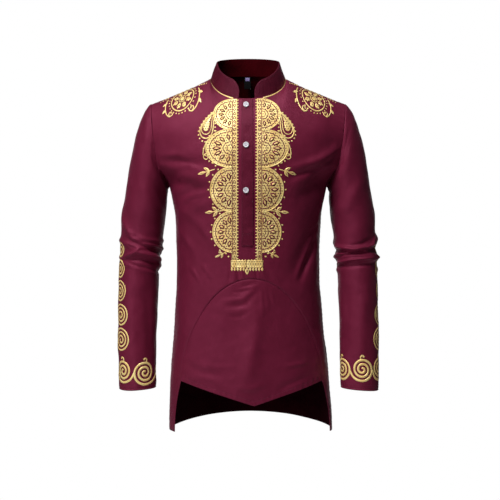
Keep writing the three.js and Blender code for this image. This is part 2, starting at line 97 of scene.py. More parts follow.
def smoothLine(knots, points, value, startSlope=None, endSlope=None):
    # A Hermite curve. points is (knot, place, xyz) and value (place). An inner slope is the harmonic mean of
    # the chords on its two sides, and nought where they differ in sign, so that no coordinate overshoots.
    chords = np.diff(points, axis=0) / np.diff(knots)[:, None, None]
    before, after = chords[:-1], chords[1:]
    same = before * after > 0
    inner = np.where(same, 2 * before * after / np.where(same, before + after, 1), 0)
    first = chords[:1] if startSlope is None else startSlope(chords[:1])
    final = chords[-1:] if endSlope is None else endSlope(chords[-1:])
    slopes = np.concatenate([first, inner, final])
    k = np.clip(np.searchsorted(knots, value) - 1, 0, len(knots) - 2)
    place = np.arange(points.shape[1])
    span = (knots[k + 1] - knots[k])[:, None]
    t = (value - knots[k])[:, None] / span
    return (
        points[k, place] * (2 * t**3 - 3 * t**2 + 1)
        + slopes[k, place] * (t**3 - 2 * t**2 + t) * span
        + points[k + 1, place] * (3 * t**2 - 2 * t**3)
        + slopes[k + 1, place] * (t**3 - t**2) * span
    )


bellReach = 2.7        # widths of a bell past which it is nought


def foldHeights(folds, a, b):
    # Each fold is a two-legged path with a width and a depth (negative for a trough): its height is a bell
    # across the nearer leg, tapered by a sine towards both ends. Only the points near a fold are worked on.
    total = np.zeros_like(a)
    for fromA, fromB, viaA, viaB, toA, toB, width, depth in folds:
        reach = width * bellReach
        near = np.flatnonzero(
            between(a, min(fromA, viaA, toA) - reach, max(fromA, viaA, toA) + reach)
            & between(b, min(fromB, viaB, toB) - reach, max(fromB, viaB, toB) + reach)
        )
        nearA, nearB = a[near], b[near]
        first = math.hypot(viaA - fromA, viaB - fromB)
        second = math.hypot(toA - viaA, toB - viaB)
        away, along = np.full_like(nearA, 1e9), np.zeros_like(nearA)
        for startA, startB, endA, endB, low, long in (
            (fromA, fromB, viaA, viaB, 0, first),
            (viaA, viaB, toA, toB, first, second),
        ):
            legA, legB = endA - startA, endB - startB
            share = np.clip(((nearA - startA) * legA + (nearB - startB) * legB) / long**2, 0, 1)
            far = np.hypot(nearA - startA - share * legA, nearB - startB - share * legB)
            nearer = far < away
            away = np.where(nearer, far, away)
            along = np.where(nearer, (low + share * long) / (first + second), along)
        total[near] += depth * np.sin(math.pi * mix(0.1, 0.9, along)) * bell(away, width)
    return total


def lifted(surface, relief, u, v, lift, nudge, outward):
    # The point of a surface moved along its normal by its relief and a lift. The normal is the cross product
    # of two central differences.
    across = surface(u + nudge[0], v) - surface(u - nudge[0], v)
    along = surface(u, v + nudge[1]) - surface(u, v - nudge[1])
    normal = unit(np.cross(across, along)) * outward
    return surface(u, v) + normal * (relief(u, v) + lift)[..., None]


def gridQuads(rows, columns, closed=False):
    # The four corner indices of each quad of a grid, twice: with the last column of a closed grid being the
    # first again, and with it apart, as a closed piece's flat map has it.
    j, i = np.meshgrid(np.arange(rows - 1), np.arange(columns - 1), indexing="ij")
    corners = np.stack([j, i, j, i + 1, j + 1, i + 1, j + 1, i], -1).reshape(-1, 4, 2)
    wide = columns - 1 if closed else columns
    return corners[..., 0] * wide + corners[..., 1] % wide, corners[..., 0] * columns + corners[..., 1]


def makeMesh(name, points, quads, materials, uv=None, uvQuads=None, slots=None):
    # Points and flat map in millimetres; where a tube closes on itself, uvQuads gives the map's own corners.
    mesh = bpy.data.meshes.new(name)
    count, faces = len(points), len(quads)
    mesh.vertices.add(count)
    mesh.vertices.foreach_set("co", (np.asarray(points) * millimetre).astype(np.float32).ravel())
    mesh.loops.add(faces * 4)
    mesh.loops.foreach_set("vertex_index", quads.astype(np.int32).ravel())
    mesh.polygons.add(faces)
    mesh.polygons.foreach_set("loop_start", np.arange(0, faces * 4, 4, dtype=np.int32))
    mesh.polygons.foreach_set("use_smooth", np.ones(faces, dtype=bool))
    if slots is not None:
        mesh.polygons.foreach_set("material_index", slots.astype(np.int32))
    mesh.update(calc_edges=True)
    if uv is not None:
        layer = mesh.uv_layers.new(name="cloth")
        corners = quads if uvQuads is None else uvQuads
        layer.data.foreach_set("uv", (uv[corners.ravel()] * millimetre).astype(np.float32).ravel())
    for material in materials:
        mesh.materials.append(material)
    made = bpy.data.objects.new(name, mesh)
    bpy.context.scene.collection.objects.link(made)
    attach(made, "root")
    return made


def thicken(made, wall, offset=-1, inner=0):
    solid = made.modifiers.new("wall", "SOLIDIFY")
    solid.thickness = wall * millimetre
    solid.offset = offset
    # the inner face takes the slot that many after its own; in the cloth panels that slot holds the inside's
    # painted shade
    solid.material_offset = inner
    return made


def dress(made, node):
    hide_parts(node)
    return made


# Materials
def newMaterial(name, viewColour):
    material = bpy.data.materials.new(name)
    material.use_nodes = True
    material.diffuse_color = (*viewColour, 1)
    nodes = material.node_tree.nodes
    return material, nodes, material.node_tree.links, nodes["Principled BSDF"]


def addNode(nodes, kind, settings=None, **inputs):
    node = nodes.new(kind)
    for key, value in (settings or {}).items():
        setattr(node, key, value)
    for key, value in inputs.items():
        node.inputs[key].default_value = value
    return node


def mathNode(nodes, links, operation, first, second=None):
    node = nodes.new("ShaderNodeMath")
    node.operation = operation
    for socket, value in zip(node.inputs, (first, second)):
        if value is None:
            continue
        if isinstance(value, (int, float)):
            socket.default_value = value
        else:
            links.new(value, socket)
    return node.outputs[0]


def flatMap(nodes, links):
    plan = addNode(nodes, "ShaderNodeUVMap", {"uv_map": "cloth"})
    parts = nodes.new("ShaderNodeSeparateXYZ")
    links.new(plan.outputs[0], parts.inputs[0])
    return parts.outputs


def weaveHeight(nodes, links, pitch):
    # Twill: the warp and weft sines of the cloth map multiplied, plus a diagonal line every two threads.
    parts = flatMap(nodes, links)
    turns = 2 * math.pi / pitch
    across = mathNode(nodes, links, "SINE", mathNode(nodes, links, "MULTIPLY", parts[0], turns))
    along = mathNode(nodes, links, "SINE", mathNode(nodes, links, "MULTIPLY", parts[1], turns))
    slant = mathNode(nodes, links, "ADD", parts[0], parts[1])
    twill = mathNode(nodes, links, "SINE", mathNode(nodes, links, "MULTIPLY", slant, turns / 2))
    return mathNode(nodes, links, "ADD", mathNode(nodes, links, "MULTIPLY", across, along), twill)


def addNoise(nodes, links, place, **inputs):
    noise = addNode(nodes, "ShaderNodeTexNoise", **inputs)
    links.new(place, noise.inputs["Vector"])
    return noise.outputs["Fac"]


def addRamp(nodes, links, value, low, high, ends=(0.0, 1.0)):
    # The colour runs from low to high while the value runs between the ends.
    ramp = nodes.new("ShaderNodeValToRGB")
    for element, position, colour in zip(ramp.color_ramp.elements, ends, (low, high)):
        element.position = position
        element.color = (*colour, 1)
    links.new(value, ramp.inputs["Fac"])
    return ramp.outputs["Color"]


def addBump(nodes, links, shader, height, strength, distance):
    bump = addNode(nodes, "ShaderNodeBump", Strength=strength, Distance=distance)
    links.new(height, bump.inputs["Height"])
    links.new(bump.outputs["Normal"], shader.inputs["Normal"])


cloth = {
    "weavePitch": 0.0007, "weaveDepth": 0.00012, "roughSpread": 0.07,
    "glossTint": (1.0, 0.22, 0.42), "sheen": 0.06, "sheenRoughness": 0.4, "sheenTint": (0.8, 0.12, 0.35),
}


def clothMaterial(name, dark, light, roughness, gloss):
    # Dark and light are the two ends of a slow, cloudy colour change; a finer noise breaks up the gloss.
    material, nodes, links, shader = newMaterial(name, light)
    place = addNode(nodes, "ShaderNodeTexCoord").outputs["Object"]
    clouds = addNoise(nodes, links, place, Scale=45.0, Detail=5.0, Roughness=0.6)
    links.new(addRamp(nodes, links, clouds, dark, light, (0.3, 0.7)), shader.inputs["Base Color"])
    spread = addNode(nodes, "ShaderNodeMapRange")
    spread.inputs["To Min"].default_value = roughness - cloth["roughSpread"]
    spread.inputs["To Max"].default_value = roughness + cloth["roughSpread"]
    links.new(addNoise(nodes, links, place, Scale=420.0, Detail=2.0), spread.inputs["Value"])
    links.new(spread.outputs["Result"], shader.inputs["Roughness"])
    addBump(nodes, links, shader, weaveHeight(nodes, links, cloth["weavePitch"]), 0.35, cloth["weaveDepth"])
    shader.inputs["Specular IOR Level"].default_value = gloss
    shader.inputs["Specular Tint"].default_value = (*cloth["glossTint"], 1)
    shader.inputs["Sheen Weight"].default_value = cloth["sheen"]
    shader.inputs["Sheen Roughness"].default_value = cloth["sheenRoughness"]
    shader.inputs["Sheen Tint"].default_value = (*cloth["sheenTint"], 1)
    return material


foil = {
    "bright": (1.0, 0.79, 0.325), "dull": (0.93, 0.61, 0.195), "metal": 0.25, "roughness": 0.46,
    "streaks": (1.6, 1.6, 0.5), "dotPitch": 0.0053, "dotRadius": 0.24,
}


def pinHoles(nodes, links):
    # Staggered holes: the film is 1 where a point of the flat map is further than a radius from the nearest
    # centre of a grid whose odd rows are moved by half a pitch.
    parts = flatMap(nodes, links)
    row = mathNode(nodes, links, "DIVIDE", parts[1], foil["dotPitch"])
    odd = mathNode(nodes, links, "MODULO", mathNode(nodes, links, "FLOOR", row), 2.0)
    column = mathNode(nodes, links, "DIVIDE", parts[0], foil["dotPitch"])
    column = mathNode(nodes, links, "ADD", column, mathNode(nodes, links, "MULTIPLY", odd, 0.5))
    squares = []
    for place in (row, column):
        off = mathNode(nodes, links, "SUBTRACT", mathNode(nodes, links, "FRACT", place), 0.5)
        squares.append(mathNode(nodes, links, "MULTIPLY", off, off))
    distance = mathNode(nodes, links, "ADD", *squares)
    return mathNode(nodes, links, "GREATER_THAN", distance, foil["dotRadius"] ** 2)


def foilMaterial(name, ground=None):
    # Gold film; where a ground colour is given, pin-holes in the film show it.
    material, nodes, links, shader = newMaterial(name, foil["bright"])
    place = addNode(nodes, "ShaderNodeTexCoord").outputs["Object"]
    stretch = addNode(nodes, "ShaderNodeMapping")
    stretch.inputs["Scale"].default_value = foil["streaks"]
    links.new(place, stretch.inputs["Vector"])
    streaks = addNoise(nodes, links, stretch.outputs[0], Scale=60.0, Detail=5.0, Roughness=0.6)
    colour = addRamp(nodes, links, streaks, foil["dull"], foil["bright"], (0.32, 0.66))
    if ground is None:
        shader.inputs["Metallic"].default_value = foil["metal"]
    else:
        film = pinHoles(nodes, links)
        both = nodes.new("ShaderNodeMix")
        both.data_type = "RGBA"
        both.inputs["A"].default_value = (*ground, 1)
        links.new(film, both.inputs["Factor"])
        links.new(colour, both.inputs["B"])
        colour = both.outputs["Result"]
        links.new(mathNode(nodes, links, "MULTIPLY", film, foil["metal"]), shader.inputs["Metallic"])
    links.new(colour, shader.inputs["Base Color"])
    shader.inputs["Roughness"].default_value = foil["roughness"]
    addBump(nodes, links, shader, addNoise(nodes, links, place, Scale=900.0, Detail=2.0), 0.25, 0.0002)
    return material


def smoothMaterial(name, colour, roughness, coat=0.0, gloss=0.5, noiseScale=80.0, contrast=0.06):
    # Resin, thread and tape: a fine noise moves the colour a little and roughens the surface.
    material, nodes, links, shader = newMaterial(name, colour)
    place = addNode(nodes, "ShaderNodeTexCoord").outputs["Object"]
    grain = addNoise(nodes, links, place, Scale=noiseScale, Detail=3.0)
    dark, light = ([min(c * (1 + change), 1) for c in colour] for change in (-contrast, contrast))
    links.new(addRamp(nodes, links, grain, dark, light), shader.inputs["Base Color"])
    addBump(nodes, links, shader, grain, 0.15, 0.0001)
    shader.inputs["Roughness"].default_value = roughness
    shader.inputs["Coat Weight"].default_value = coat
    shader.inputs["Specular IOR Level"].default_value = gloss
    return material


wineDark, wineLight = (0.118, 0.0085, 0.0265), (0.138, 0.011, 0.033)
wineCloth = clothMaterial("shirtCloth", wineDark, wineLight, 0.47, 0.45)
# The placket's band: a darker copy of the cloth, painted shade.
paintedShadeBand = clothMaterial("placketBandPaintedShade", (0.084, 0.0056, 0.0175), (0.102, 0.0074, 0.0225), 0.5, 0.36)
# The collar: a darker copy of the cloth, with the collar's shade painted into its colour.
paintedShadeCollarCloth = clothMaterial("paintedShadeCollarCloth", (0.046, 0.003, 0.009), (0.074, 0.005, 0.0145), 0.5, 0.32)
# The inside of the same cloth, painted near black as the shade inside the hollow shirt.
paintedShadeInside = clothMaterial("innerFacePaintedShade", (0.008, 0.0004, 0.001), (0.013, 0.0006, 0.002), 0.85, 0.02)
# The inside of the collar, painted dark red as the shade inside the neck: darker than the outside, lighter
# than the inside's painted shade.
paintedShadeCollarInside = clothMaterial("paintedShadeCollarInside", (0.035, 0.0008, 0.002), (0.055, 0.0012, 0.003), 0.8, 0.05)
goldPlain = foilMaterial("goldFilm")
goldDotted = foilMaterial("goldFilmPinholes", wineDark)
threadWine = smoothMaterial("wineThread", (0.13, 0.012, 0.042), 0.6, noiseScale=900.0, contrast=0.2)
threadWhite = smoothMaterial("buttonThread", (0.62, 0.56, 0.72), 0.6, noiseScale=900.0)
resinWhite = smoothMaterial("buttonResin", (0.74, 0.72, 0.77), 0.25, coat=0.3)
labelBlack = smoothMaterial(
    "labelTape", (0.004, 0.004, 0.005), 0.9, gloss=0.12, noiseScale=600.0, contrast=0.3)
labelBar = smoothMaterial("labelBar", (0.24, 0.19, 0.42), 0.6, noiseScale=600.0, contrast=0.2)
print("materials made")


# The body panels' surfaces
body = {
    "neckHalfWidth": 83.0, "shoulderTip": (213.0, -55.0), "shoulderDip": 3.0, "neckShare": 0.42,
    "topLevel": -55.0, "armpitLevel": -237.0, "hemLevel": -768.0, "backHemRise": 22.0,
    "boxiness": 0.84, "halfGirth": 270.0, "clothWall": 0.9, "cornerReach": 0.17,
    # level above which the back's inside is painted lighter, as painted light reaching in through the neck
    "paintedLightFoot": -120.0,
}
# sections: level, middleX, edgeX, edgeY, edgeZ, centreY, centreZ, wrap
front = {
    "neckY": -74.0, "neckZ": -52.0,
    "sections": np.array([
        (-768, 6, 178.5, 0, -768, -121, -768, 90), (-655, 3.5, 174, 0, -655, -121, -655, 90),
        (-545, 1.5, 163.5, 0, -545, -114, -545, 90), (-410, 0, 156, 0, -410, -109, -410, 90),
        (-310, 0, 159.5, 0, -310, -116, -310, 90), (-237, 0, 172, 0, -237, -123, -237, 90),
        (-190, 0, 193, -50, -193, -122, -190, 62), (-130, 0, 204, -56, -138, -109, -126, 48),
    ], float),
    # folds: from x, z; via x, z; to x, z; width; depth
    "folds": [
        (-178, -188, -130, -196, -84, -190, 13, -5), (-168, -226, -120, -222, -62, -232, 14, 4),
        (190, -170, 150, -196, 100, -240, 16, 5), (178, -208, 150, -226, 112, -266, 15, -6),
        (-150, -306, -108, -284, -62, -268, 14, 4), (150, -330, 122, -380, 100, -430, 18, -6),
        (17, -470, 7, -570, -1, -680, 26, 5),
        # finer creases: from the right armpit
        (-183, -187, -147, -185, -112, -194, 5, -3.2), (-185, -174, -160, -172, -139, -172, 6, 2.2),
        (-168, -202, -126, -197, -98, -209, 6, 3), (-176, -210, -155, -231, -105, -240, 12, -5),
        (-150, -262, -118, -249, -88, -244, 7, -3), (-147, -279, -122, -263, -88, -254, 6, 3.5),
        (-126, -281, -112, -275, -100, -268, 4, 2), (-143, -288, -105, -317, -72, -367, 9, 3),
        (-147, -334, -130, -360, -113, -384, 8, 2.5),
        # from the left armpit, and the pleat at the left of the waist
        (192, -158, 152, -182, 86, -206, 8, 4.5), (190, -174, 156, -198, 92, -224, 6.5, -6),
        (136, -352, 121, -391, 100, -437, 6, 3), (148, -352, 133, -392, 112, -440, 6, -5.5),
        (152, -322, 140, -336, 128, -350, 6, -2.5),
        # puckers between the print's foot and the arched seam
        (-120, -416, -112, -428, -105, -441, 4, 2), (-96, -409, -87, -421, -78, -436, 4.5, 2.2),
        (-16, -408, -12, -425, -11, -442, 4, 1.3), (-25, -410, -20, -427, -21, -447, 3.4, -1.8),
        (-32, -407, -29, -429, -31, -441, 3.4, 1.1), (-38, -413, -39, -430, -42, -449, 3, -1.1),
        (27, -413, 32, -428, 41, -444, 3.6, 1.5), (15, -411, 18, -430, 18, -446, 3, -1.1),
        (45, -415, 54, -430, 66, -446, 4, 1.4),
        # below the arched seam: folds that meet at its crown, short pleats and slack across the lap
        (-12, -457, 6, -455, 24, -449, 4, 1.1), (-18, -454, -4, -452, 9, -447, 2.6, -1.2),
        (-33, -465, -14, -464, 2, -460, 3, -1.2), (-52, -484, -15, -480, 21, -454, 6, 2),
        (-44, -496, -5, -491, 15, -465, 6, -1.9), (-64, -502, -22, -504, 1, -496, 7, 1),
        (-40, -516, -17, -517, 3, -504, 4.5, -1), (52, -456, 62, -455, 74, -453, 2.4, 1),
        (27, -457, 29, -480, 30, -514, 3.2, 1.3),
        (36, -457, 39, -478, 41, -502, 3, 1.1), (46, -460, 51, -475, 56, -492, 3, 1),
        (24, -498, 13, -580, -4, -652, 12, 2.4), (-131, -606, -92, -622, -34, -622, 7, 1.3),
        (-128, -622, -96, -637, -44, -640, 7, -1.1), (80, -621, 100, -619, 124, -616, 5, 1.8),
        (-22, -664, 6, -668, 32, -660, 7, 2), (-118, -644, -80, -648, -50, -664, 8, 1.2),
        (60, -672, 96, -656, 130, -645, 6, -1.8),
    ],
}
back = {
    "neckY": 56.0, "neckZ": 14.0,
    "sections": np.array([
        (-768, 6, 178.5, 0, -768, 120, -768, 90), (-640, 3.5, 173, 0, -640, 120, -640, 90),
        (-545, 1.5, 163.5, 0, -545, 108, -545, 90), (-410, 0, 156, 0, -410, 93, -410, 90),
        (-310, 0, 159.5, 0, -310, 105, -310, 90), (-237, 0, 172, 0, -237, 115, -237, 90),
        (-190, 0, 191, 46, -193, 118, -184, 62), (-130, 0, 202, 55, -138, 107, -108, 48),
    ], float),
    "folds": [
        (-182, -190, -130, -206, -84, -238, 16, -5), (182, -190, 132, -210, 90, -246, 17, -5),
        (-84, -332, 10, -344, 108, -330, 15, 5), (-112, -366, -10, -376, 84, -362, 13, -5),
        (-70, -404, 20, -410, 96, -396, 15, 4.5), (-54, -480, -66, -600, -88, -730, 24, 6),
        (74, -500, 86, -620, 98, -735, 23, 5),
        # finer creases: below the armpits, across the small of the back, and by the side seams
        (-186, -184, -146, -190, -104, -212, 6, 3), (-180, -204, -140, -222, -96, -250, 7, -3.5),
        (188, -182, 148, -192, 100, -216, 6, 3), (182, -206, 144, -226, 100, -256, 7, -3.5),
        (-96, -318, -20, -328, 60, -320, 7, 2.6), (-60, -354, 24, -356, 112, -346, 7, -3),
        (-92, -388, -10, -394, 66, -386, 6, 2.4), (-30, -420, 40, -424, 104, -412, 7, -2.4),
        (-150, -330, -128, -356, -112, -392, 7, -3), (150, -338, 130, -366, 116, -400, 7, -3),
        (-120, -470, -126, -560, -140, -650, 12, 2.6), (128, -480, 134, -570, 146, -660, 12, -2.6),
        (10, -520, 16, -610, 22, -700, 13, -2.4), (-170, -690, -120, -704, -70, -700, 8, 2),
        (40, -712, 96, -708, 150, -716, 8, 2),
    ],
}


def sectionPoints(panel, share):
    # x = middle + edge * sin(half * share) / sin(half); y and z run from the centre's to the edge's by
    # (1 - cos(half * share) ** boxiness) over the same at the edge.
    _, middleX, edgeX, edgeY, edgeZ, centreY, centreZ, wrap = panel["sections"].T[:, :, None]
    half = np.radians(wrap)
    rise = lambda angle: 1 - np.maximum(np.cos(angle), 0) ** body["boxiness"]
    bend = rise(half * share) / rise(half)
    x = middleX + edgeX * np.sin(half * share) / np.sin(half)
    return stacked(x, mix(centreY, edgeY, bend), mix(centreZ, edgeZ, bend))


def topPoints(panel, share):
    # The shoulder seam outside the neck share, a straight line with a sine sag; the neckline inside it, a
    # quarter of an ellipse on each side.
    size, side = np.abs(share), np.sign(share)
    run = np.clip((size - body["neckShare"]) / (1 - body["neckShare"]), 0, 1)
    tipX, tipZ = body["shoulderTip"]
    shoulder = stacked(
        side * mix(body["neckHalfWidth"], tipX, run), 0 * run,
        tipZ * run - body["shoulderDip"] * np.sin(math.pi * run),
    )
    angle = math.pi / 2 * np.minimum(size / body["neckShare"], 1)
    across, ahead = np.sin(angle), np.cos(angle)
    neckline = stacked(side * body["neckHalfWidth"] * across, panel["neckY"] * ahead, panel["neckZ"] * ahead)
    return np.where((size >= body["neckShare"])[:, None], shoulder, neckline)


def plainPoints(panel, share, level):
    # A smooth line through the sections' points and the top's, which it reaches level over the shoulder and
    # steep below the collar.
    points = np.concatenate([sectionPoints(panel, share), topPoints(panel, share)[None]])
    knots = np.append(panel["sections"][:, 0], body["topLevel"])
    steep = np.maximum(np.cos(math.pi / 2 * np.minimum(np.abs(share) / body["neckShare"], 1)), 0) ** 1.5
    arriving = stacked(0 * share, -np.sign(panel["neckY"]) * mix(1, 0.45, steep), mix(0.06, 0.9, steep))
    arrive = lambda chord: arriving * np.linalg.norm(chord, axis=-1, keepdims=True) * 1.1
    return smoothLine(knots, points, level, None, arrive)


def panelPoints(panel, share, level):
    # The plain points, averaged over five shares below the corner of collar and shoulder, with a reach that
    # is nought at the seams; plus the folds, which fade towards the side and shoulder seams.
    share, level = np.broadcast_arrays(share, level)
    shape, share, level = share.shape, share.ravel(), level.ravel()
    point = plainPoints(panel, share, level)
    fromCorner = (np.abs(share) - body["neckShare"]) / body["cornerReach"]
    deep = np.clip((body["topLevel"] - level) / 45, 0, 1) * np.clip((level + 140) / 30, 0, 1)
    reach = 0.6 * body["cornerReach"] * deep * np.maximum(1 - fromCorner**2, 0)
    near = np.flatnonzero(reach > 0)
    for part in (-1, -0.5, 0.5, 1) if len(near) else ():
        point[near] += plainPoints(panel, share[near] + reach[near] * part, level[near])
    point[near] /= 5
    fade = np.clip((1 - np.abs(share)) / 0.08, 0, 1) * np.clip((body["topLevel"] - level) / 30, 0, 1)
    outward = unit(stacked(point[:, 0] * 0.4, np.sign(panel["neckY"]) * 100.0, 0.0))
    point = point + outward * (foldHeights(panel["folds"], point[:, 0], point[:, 2]) * fade)[:, None]
    return point.reshape(*shape, 3)


# The lower front: an arched seam above, a pointed hem below, between the two side strips.
inset = {
    "centreX": 7.5, "halfWidth": 151.0, "springZ": -655.0, "rise": 217.0, "fullness": 0.6,
    "cornerZ": -656.0, "tipX": 13.0, "tipZ": -704.0, "columns": 150, "rows": 110,
}
strips = {"footRightX": -160.0, "footLeftX": 178.0, "bendZ": -705.0}
seams = {
    "dip": 0.5, "sideDip": 0.08, "archDip": 0.28, "dipWidth": 1.9,
    "pucker": 0.3, "archPucker": 0.07, "puckerIn": 4.0, "puckerEvery": 11.0, "puckerReach": 9.0,
}


def archDistance(x, z):
    # Signed distance to the arched seam in front view: positive outside it. Above the spring the arch is
    # where (x / half width)^2 + (z / rise)^(1 / fullness) = 1; below it, the strips' edges go straight down.
    acrossX = np.abs(x - inset["centreX"])
    up = np.maximum(z - inset["springZ"], 0)
    power = 1 / inset["fullness"]
    value = np.sqrt((acrossX / inset["halfWidth"]) ** 2 + (up / inset["rise"]) ** power) + 1e-9
    slopeX = acrossX / inset["halfWidth"] ** 2 / value
    slopeZ = power / 2 / inset["rise"] * (up / inset["rise"]) ** (power - 1) / value
    return (value - 1) / np.maximum(np.hypot(slopeX, slopeZ), 1e-4)


def seamRelief(distance, along, dip, pucker):
    # A groove at the seam and short puckers beside it.
    wave = np.sin(along * 2 * math.pi / seams["puckerEvery"] + np.sin(along / 17) * 2)
    beside = bell(distance - seams["puckerIn"], seams["puckerReach"])
    return -dip * bell(distance, seams["dipWidth"]) + pucker * wave * beside


def panelRelief(panel, share, level):
    edge = (1 - np.abs(share)) * body["halfGirth"]
    top = (body["topLevel"] - level) * 1.6
    flat = share * body["halfGirth"]
    shoulder = np.clip((np.abs(share) - body["neckShare"]) / 0.05, 0, 1)
    relief = seamRelief(edge, level, seams["sideDip"], seams["pucker"])
    relief = relief + seamRelief(top, flat, seams["dip"], seams["pucker"]) * shoulder
    seed = 4 if panel is front else 9
    relief = relief + unevenness(flat, level, seed, 90, 0.7) + unevenness(flat, level, seed + 1, 30, 0.16)
    return relief


def insetFoot(x):
    # The pointed hem's height: straight from each corner to the tip.
    places = inset["centreX"] - inset["halfWidth"], inset["tipX"], inset["centreX"] + inset["halfWidth"]
    return np.interp(x, places, [inset["cornerZ"], inset["tipZ"], inset["cornerZ"]])


def hemDistance(x, z):
    # Height above the pointed hem in front view, and large outside the lower front.
    return np.where(archDistance(x, z) < 0, z - insetFoot(x), 1e3)


def frontRelief(share, level):
    point = panelPoints(front, share, level)
    x, z = point[..., 0], point[..., 2]
    arch = seamRelief(archDistance(x, z), x + z, seams["archDip"], seams["archPucker"])
    relief = panelRelief(front, share, level) + arch
    aboveHem = np.abs(hemDistance(x, z))
    ripple = np.sin(x * 0.62 + 1.3 * np.sin(x / 13)) * bell(aboveHem - 6, 7) * 0.4
    return relief + ripple - 0.35 * bell(aboveHem - 9, 1.6)


def frontCloth(share, level, lift=0.0):
    surface = lambda u, v: panelPoints(front, u, v)
    return lifted(surface, frontRelief, share, level, lift, (1e-3, 0.1), 1)


def backCloth(share, level, lift=0.0):
    surface = lambda u, v: panelPoints(back, u, v)
    return lifted(surface, lambda u, v: panelRelief(back, u, v), share, level, lift, (1e-3, 0.1), -1)


def frontPlace(x, z):
    # The share and level at which the front panel shows at x and z in front view, by Newton's method.
    share, level = np.clip(x / 175, -0.97, 0.97), np.clip(z, body["hemLevel"], -58.0)
    for _ in range(9):
        here = panelPoints(front, share, level)
        overShare = (panelPoints(front, share + 1e-3, level) - here) / 1e-3
        overLevel = (panelPoints(front, share, level + 0.1) - here) / 0.1
        missX, missZ = x - here[..., 0], z - here[..., 2]
        a, b, c, d = overShare[..., 0], overLevel[..., 0], overShare[..., 2], overLevel[..., 2]
        whole = a * d - b * c
        share = share + np.clip((d * missX - b * missZ) / whole, -0.1, 0.1)
        level = level + np.clip((a * missZ - c * missX) / whole, -40, 40)
    return share, level


# Front with its side strips
frontMesh = {"alongStrip": 20, "alongArch": 230, "outward": 88}
backMesh = {"across": 150, "below": 150, "above": 60}


def quadratic(start, control, end, t):
    t = t[:, None]
    return np.array(start) * (1 - t) ** 2 + 2 * np.array(control) * t * (1 - t) + np.array(end) * t**2


def stripEdge(side):
    # The inner edge of a side strip from the hem up to the spring of the arch: a quadratic curve whose part
    # below the hem is left out.
    foot = strips["footRightX"] if side < 0 else strips["footLeftX"]
    spring = (inset["centreX"] + side * inset["halfWidth"], inset["springZ"])
    below = (foot, body["hemLevel"] - 20)
    t = np.linspace(0, 1, 200)
    line = quadratic(below, (foot, strips["bendZ"]), spring, t)
    start = np.interp(body["hemLevel"], line[:, 1], t)
    t = np.linspace(start, 1, frontMesh["alongStrip"] + 1)
    return quadratic(below, (foot, strips["bendZ"]), spring, t)


def archLine(side, angle):
    # The arched seam in front view: x goes with the cosine, and z with a power of the sine.
    return stacked(
        inset["centreX"] + side * inset["halfWidth"] * np.cos(angle),
        inset["springZ"] + inset["rise"] * np.sin(angle) ** (2 * inset["fullness"]),
    )


def lengthsAlong(line):
    return np.append(0, np.cumsum(np.linalg.norm(np.diff(line, axis=0), axis=1)))


def evenSteps(line, count):
    # The same line in a number of even steps.
    length = lengthsAlong(line)
    even = np.linspace(0, length[-1], count + 1)
    return stacked(np.interp(even, length, line[:, 0]), np.interp(even, length, line[:, 1]))


def archEdge(side, count):
    # From the spring to the crown in even steps along the arch.
    return evenSteps(archLine(side, np.linspace(0, math.pi / 2, 2000)), count)


def outerEdge(side, count):
    # (share, level) from beside the spring up the side seam and armhole, along the shoulder and the neckline
    # to the middle, in even steps of the flat cloth.
    tall = (body["armpitLevel"] - inset["springZ"], 195.0)
    wide = ((1 - body["neckShare"]) * 243, body["neckShare"] * 275)
    length = np.cumsum([0, *tall, *wide])
    even = np.linspace(0, length[-1], count + 1)
    share = np.interp(even, length, [1, 1, 1, body["neckShare"], 0]) * side
    level = np.interp(even, length, [inset["springZ"], body["armpitLevel"], *[body["topLevel"]] * 3])
    return share, level


def makeFront():
    # A horseshoe of radial lines in the panel's own flat plan: each runs from the strips' and arch's inner
    # edge to the side seam, armhole, shoulder or neckline.
    halves = []
    for side in (-1, 1):
        inner = np.concatenate([stripEdge(side), archEdge(side, frontMesh["alongArch"])[1:]])
        innerShare, innerLevel = frontPlace(inner[:, 0], inner[:, 1])
        stripLevel = np.linspace(body["hemLevel"], inset["springZ"], frontMesh["alongStrip"] + 1)
        outerShare, outerLevel = outerEdge(side, frontMesh["alongArch"])
        outerShare = np.append(np.full(frontMesh["alongStrip"], float(side)), outerShare)
        outerLevel = np.append(stripLevel[:-1], outerLevel)
        innerLevel[0] = body["hemLevel"]
        halves.append(np.stack([innerShare, innerLevel, outerShare, outerLevel]))
    edges = np.concatenate([halves[0], halves[1][:, -2::-1]], axis=1)
    out = np.linspace(0, 1, frontMesh["outward"] + 1)[:, None]
    share, level = mix(edges[0], edges[2], out), mix(edges[1], edges[3], out)
    quads, _ = gridQuads(*share.shape)
    flat = stacked(share * body["halfGirth"], level).reshape(-1, 2)
    points = frontCloth(share, level).reshape(-1, 3)
    made = makeMesh("front_body_cloth", points, quads, [wineCloth, paintedShadeInside], flat)
    return dress(thicken(made, body["clothWall"], inner=1), "front_body")


def makeLowerFront():
    # Columns stand at even angles of the arch; each runs from the pointed hem up to the arched seam.
    arch = archLine(-1, np.linspace(0, math.pi, inset["columns"] + 1))
    x, top = arch[:, 0], arch[:, 1]
    z = mix(insetFoot(x), top, np.linspace(0, 1, inset["rows"] + 1)[:, None])
    share, level = frontPlace(np.broadcast_to(x, z.shape), z)
    quads, _ = gridQuads(*z.shape)
    flat = stacked(share * body["halfGirth"], level).reshape(-1, 2)
    points = frontCloth(share, level).reshape(-1, 3)
    made = makeMesh("lower_front_cloth", points, quads, [wineCloth, paintedShadeInside], flat)
    return dress(thicken(made, body["clothWall"], inner=1), "lower_front")


def backHem(share):
    return body["hemLevel"] + body["backHemRise"] * np.cos(math.pi / 2 * share) ** 2


